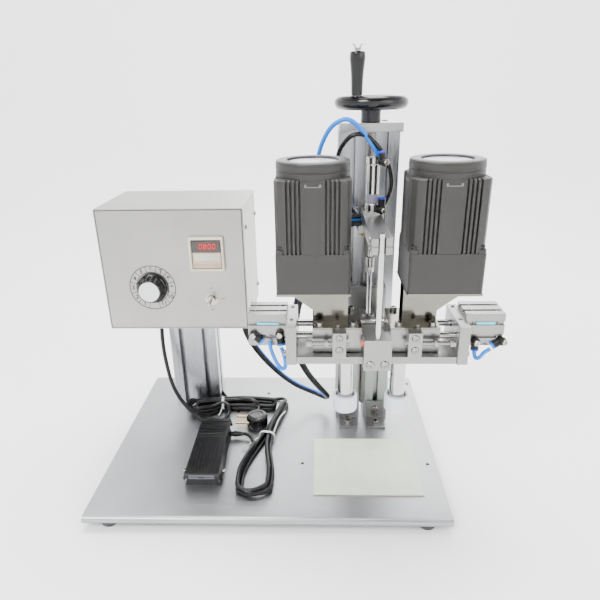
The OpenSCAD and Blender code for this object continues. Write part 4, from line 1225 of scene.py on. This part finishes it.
STEEL_BRIGHT = brushed(
    "bright_steel", "chrome", (0.55, 0.545, 0.53), 0.14, 2, 0.002, shade=0.9, spread=0.03,
)


# ---- Head ----
def add_head():
    """The head that hangs from the press cylinder, with the two grip cylinders."""
    soften("head_plate", MACHINED, 0.6)
    low, high = span("end_plates")

    def end_details(bm):
        for side, out in ((low.x, LEFT), (high.x, RIGHT)):
            for y in (-124, -76):
                add_screw(bm, (side, y, 216), out, 4.2, 4.2, "hex", 1)
            for y in (-110, -68):
                add_lathe(bm, (side, y, 235), out, [(4.0, -0.1), (4.0, 0.4), (3.4, 0.8), (0.3, 0.8)], 32, 2)
        for x in (low.x + 6.5, high.x - 6.5):
            for y in (-110, -68):
                add_screw(bm, (x, y, 258), UP, 2.6, 1.2, "hex", 1)

    soften("end_plates", [MACHINED, STEEL, CHROME], 0.7, more=end_details)
    soften("guide_rods", STEEL_BRIGHT, 0.4)
    low, high = span("centre_block")

    def centre_details(bm):
        for face in bm.faces:
            middle_x = face.calc_center_median().x
            if abs(middle_x - HEAD_X) > 17.4:
                face.material_index = 2
        for x in (-9, 9):
            add_screw(bm, (HEAD_X + x, low.y, 213), FRONT, 4.8, 1.6, "hex", 1)
            add_lathe(bm, (HEAD_X + x, low.y, 213), FRONT, [(5.4, -0.02), (5.4, 0.12), (4.8, 0.2)], 32, 3)

    soften("centre_block", [MACHINED, STEEL, ORANGE, INK], 0.7, more=centre_details)
    low, high = span("press_rod")
    cx, cy = (low.x + high.x) / 2, (low.y + high.y) / 2
    bm = bmesh.new()
    add_lathe(bm, (cx, cy, 0), UP, [(3, low.z), (3, high.z - 0.5), (2.5, high.z)], 32)
    add_lathe(bm, (cx, cy, 216.5), UP, [(8, 0), (8, 7.4), (7.4, 8), (3, 8)], 40, 1)
    nut = [
        (hexagon(5.0), 290), (hexagon(5.2), 290.6), (hexagon(5.2), 297.4), (5.2, 298), (4.4, 298.4),
        (4.4, 299.4), (6.0, 300), (6.0, 311.4), (5.4, 312),
    ]
    add_lathe(bm, (cx, cy, 0), UP, nut, 48, 1)
    show("press_rod_skin", bm, [CHROME, STEEL], "press_rod")
    seats = [((HEAD_X + x, 98.3, z), BACK, 4.6, 5) for x in (-11, 11) for z in (216, 240)]
    soften("head_guide_block", [MACHINED, STEEL], 0.6, more=screws_on(seats, m=1))

    low, high = span("grip_cylinders")

    def cylinder_details(bm):
        for side, out, s in ((low.x, LEFT, -1), (high.x, RIGHT, 1)):
            # End cap ring, corner screws and the cyan stripe in the top groove
            add_lathe(
                bm, (side, -89, 243), out,
                [(15.4, -0.3), (15.4, 0.0), (14.8, 0.25), (14.2, 0.0), (14.2, -0.3)], 64, 1,
            )
            add_lathe(bm, (side, -89, 243), out, [(14.1, -0.3), (14.1, -0.02), (0.4, -0.02)], 64, 3)
            for dy in (-16.5, 16.5):
                for dz in (-16.5, 16.5):
                    add_screw(bm, (side, -89 + dy, 243 + dz), out, 2.9, 0.9, "hex", 1)
            for k in (0.18, 0.8):
                x = side - s * 50 * k
                add_block(bm, (x - 0.25, -111.05, 221), (x + 0.25, -66.95, 265.05), 0.1, 0.05, 1)
        add_block(bm, (low.x + 12, -111.1, 250.3), (low.x + 40, -110.7, 253.7), 0.2, 0.1, 2)
        add_block(bm, (high.x - 36, -111.1, 250.3), (high.x - 12, -110.7, 253.7), 0.2, 0.1, 2)

    soften("grip_cylinders", [MACHINED, STEEL, CYAN, SHEET], 0.4, more=cylinder_details)
    bm = bmesh.new()
    add_fitting(bm, (-10, -107, 236), (-0.25, -1, 0.15), (0.75, -0.15, -0.65), 2)
    add_fitting(bm, (21.4, -107, 237), (0.0, -1, 0.15), (0.12, -0.15, -1), 3)
    add_fitting(bm, (303, -107, 228), (0.55, -1, 0), (-0.85, -0.1, -0.5), 2)
    add_fitting(bm, (272, -107, 228), (0.1, -1, 0), (0.1, 0.2, -1), 2)
    piece("grip_fittings", bm, [SATIN, BLUE_TUBE, NICKEL], "head")


# ---- Carriages ----
def add_carriage(side, s):
    """One carriage: `s` is -1 on the left and +1 on the right."""
    low, high = span(side + "_carriage_block")

    def block_details(bm):
        for y in (-110, -68):
            for x, out in ((low.x, LEFT), (high.x, RIGHT)):
                add_lathe(
                    bm, (x, y, 235), out, [(7.4, -0.05), (7.4, 0.12), (4.3, 0.14), (4.2, -0.05)], 40, 1,
                )

    soften(side + "_carriage_block", [MACHINED, STEEL], 0.6, more=block_details)
    flange_x = [low.x + 9, high.x - 11] if s < 0 else [low.x + 11, high.x - 9]

    def bracket_details(bm):
        for x in flange_x:
            add_washer(bm, (x, -115, 251), UP, 6.2, 3, 0.8, 1)
            add_screw(bm, (x, -115, 251.8), UP, 4.8, 5, "hex", 1)
            add_screw(bm, (x, -64, 251), UP, 4.8, 5, "hex", 1)
        add_screw(bm, ((flange_x[0] + flange_x[1]) / 2 + 2, -118, 251), UP, 2.8, 3.4, "hex", 1)

    soften(side + "_motor_bracket", [MIRROR_SHEET, STEEL], 0.5, more=bracket_details)
    soften(side + "_gearhead", PAINT, 1.2, 3)
    add_motor(side)
    block_x = (89, 106) if s < 0 else (183, 200)

    def stop_details(bm):
        for face in bm.faces:
            c = face.calc_center_median()
            if not block_x[0] - 0.6 < c.x < block_x[1] + 0.6:
                face.material_index = 1
        x = (block_x[0] + block_x[1]) / 2
        for z in (228, 244):
            add_screw(bm, (x, -139, z), FRONT, 4.2, 1.4, "hex", 1)
            add_lathe(bm, (x, -139, z), FRONT, [(4.8, -0.02), (4.8, 0.12), (4.2, 0.2)], 32, 2)

    soften(side + "_stop", [MACHINED, STEEL, INK], 0.5, more=stop_details)
    soften(side + "_drive_gear", STEEL, 0)
    soften(side + "_grip_rod", CHROME, 0.4)
    soften(side + "_spindle", STEEL_BRIGHT, 0)
    rlow, rhigh = span(side + "_roller")
    at = ((rlow.x + rhigh.x) / 2, (rlow.y + rhigh.y) / 2, rlow.z)
    tall = rhigh.z - rlow.z
    bm = bmesh.new()
    profile = [
        (5.05, 0), (9, 0), (9.6, 0.6), (14.6, 0.6), (15.8, 0.4), (16.6, 0.9), (17, 2), (17, tall - 2),
        (16.6, tall - 0.8), (15.6, tall - 0.1), (13.6, tall), (13.1, tall - 0.6), (13, tall - 4),
        (10.55, tall - 4), (10.55, tall), (5.05, tall),
    ]
    add_lathe(bm, at, UP, profile, 96, closed=True)
    # The black ring on the floor of the tyre's top groove is painted shade in the recess round the spindle.
    add_lathe(
        bm, (at[0], at[1], rhigh.z - 3.95), UP, [(10.6, 0), (12.95, 0), (12.95, 0.1), (10.6, 0.1)], 64, 1,
        closed=True,
    )
    add_lathe(bm, (at[0], at[1], rlow.z - 4), DOWN, [(7.6, 0), (7.4, 0.3), (4, 0.3), (3.4, -1)], 40, 2)
    show(side + "_tyre", bm, [URETHANE, INK, STEEL], side + "_roller")


def casing_outline(half, corner, deep):
    """The finned casing's outline: four grooves either side of each centre panel, corners cut back."""
    points = []
    for quarter in range(4):
        turn = Matrix.Rotation(math.pi / 2 * quarter, 2)
        side = [(-half + corner, -half)]
        for place in (-30, -25, -20, -15, 15, 20, 25, 30):
            side += [
                (place - 1.2, -half), (place - 0.9, -half + deep), (place + 0.9, -half + deep),
                (place + 1.2, -half),
            ]
        side.append((half - corner, -half))
        side += [
            (half - corner * 0.42, -half + corner * 0.30), (half - corner * 0.30, -half + corner * 0.42),
        ]
        points += [turn @ Vector(p) for p in side]
    return points


def add_motor(side):
    """The finned casing: fins either side of a centre panel, corner lugs and the fan cap."""
    node = side + "_motor"
    low, high = span(node)
    place = Vector(((low.x + high.x) / 2, (low.y + high.y) / 2, 0))
    bm = bmesh.new()
    rings = []
    for z, inset in [(351, 0.2), (351.4, 0), (434.5, 0), (436.2, 0.6), (437.2, 2.0)]:
        grow = (45 - inset) / 45
        rings.append([place + Vector((p.x * grow, p.y * grow, z)) for p in casing_outline(45, 13, 4.6)])
    add_rings(bm, rings)
    for quarter in range(4):
        turn = Matrix.Rotation(math.pi / 2 * quarter, 4, "Z")
        out = turn @ Vector(FRONT)
        corner = place + turn @ Vector((38.8, -38.8, 0))
        # Corner lug with its socket screw
        add_lathe(bm, (corner.x, corner.y, 350.8), UP, [(6.0, 0), (6.0, 4.2), (5.4, 5.0), (3, 5.2)], 32)
        add_screw(bm, (corner.x, corner.y, 356), UP, 4.2, 4.2, "hex", 1)
        # Raised centre panel with a notched top edge
        spot = place + turn @ Vector((0, -44.2, 0))
        add_slab(bm, (spot.x, spot.y, 393), out, 21, 76, 1.0, 1.0, 0.4)
        spot = place + turn @ Vector((0, -45.2, 0))
        add_slab(bm, (spot.x, spot.y, 429.6), out, 14, 1.0, 0.5, 0.3, 0.1, 3)
        for k in (-1, 1):
            tab = spot + turn @ Vector((k * 8.2, 0, 0))
            add_slab(bm, (tab.x, tab.y, 431.0), out, 2.4, 3.4, 0.5, 0.3, 0.1, 3)
    # Fan cap: two grooves, a raised ring and the label disc
    cap = [
        (43.6, 434.2), (44.3, 435), (44.3, 443), (43.6, 443.6), (43.6, 444.6), (44.3, 445.2), (44.3, 451),
        (43.8, 451.6), (43.8, 452.4), (44.1, 453), (43.6, 454.4), (42.0, 455.2), (39.6, 455.5),
        (32.5, 455.5), (31.2, 454.9), (30.6, 453.6), (30.4, 452.6), (0.4, 452.6),
    ]
    add_lathe(bm, place, UP, cap, 128)
    add_lathe(bm, place, UP, [(29.4, 452.62), (29.4, 452.8), (29.0, 452.9), (0.4, 452.9)], 96, 2)
    show(side + "_motor_casing", bm, [PAINT, BLACK_STEEL, LABEL, PAINT_EDGE], node)


PAINT_EDGE = blasted(
    "enamel_edge", "motor_paint", (0.16, 0.16, 0.155), 0.3, metallic=0.4, grain=900, depth=0.01,
)

add_base()
add_box()
add_timer()
add_controls()
add_pedal()
add_screw_and_wheel()
add_lift()
add_head()
add_carriage("left", -1)
add_carriage("right", 1)


# ---- Air tubes on the machine ----
def add_air_tubes():
    """The free air tubes between the fittings."""
    # Both arches pass in front of the handwheel's rim when the lift is at its top.
    arch = [
        (151.3, -12, 449.2), (146.5, -15, 457), (137.5, -18, 470), (122, -18, 488), (106.9, -18, 495.5),
        (90.1, -14, 487), (78.4, -6, 468), (72, 2, 445), (72, 8, 415), (84, 10, 390), (102, 6, 373),
        (122, 0, 366),
    ]
    add_free_tube("tube_press_up", arch, 3.0, BLUE_TUBE, "lift")
    black = [
        (158.7, -13, 379.8), (166, -15, 396), (169.4, -17, 411), (167.3, -18, 428), (161.3, -18, 444),
        (150.1, -18, 461), (132.7, -18, 475.5), (115.9, -17, 475.5), (103.2, -11, 462), (98.1, -2, 446),
        (98, 6, 420), (106, 8, 392), (124, 2, 368),
    ]
    add_free_tube("tube_press_down", black, 3.0, HOSE, "lift")
    loop = [
        (8.9, -120, 231), (10.5, -121, 219), (16, -122, 204), (22, -122, 194), (27, -122, 193),
        (28.3, -121, 202), (26, -119, 214), (23, -117, 221),
    ]
    add_free_tube("tube_grip_left", loop, 2.6, BLUE_TUBE, "head")
    right = [
        (291, -119, 220), (284, -118, 214), (279.5, -116, 206), (276, -112, 203), (274, -110, 210),
        (273.5, -110, 216),
    ]
    add_free_tube("tube_grip_right", right, 2.6, BLUE_TUBE, "head")


add_air_tubes()
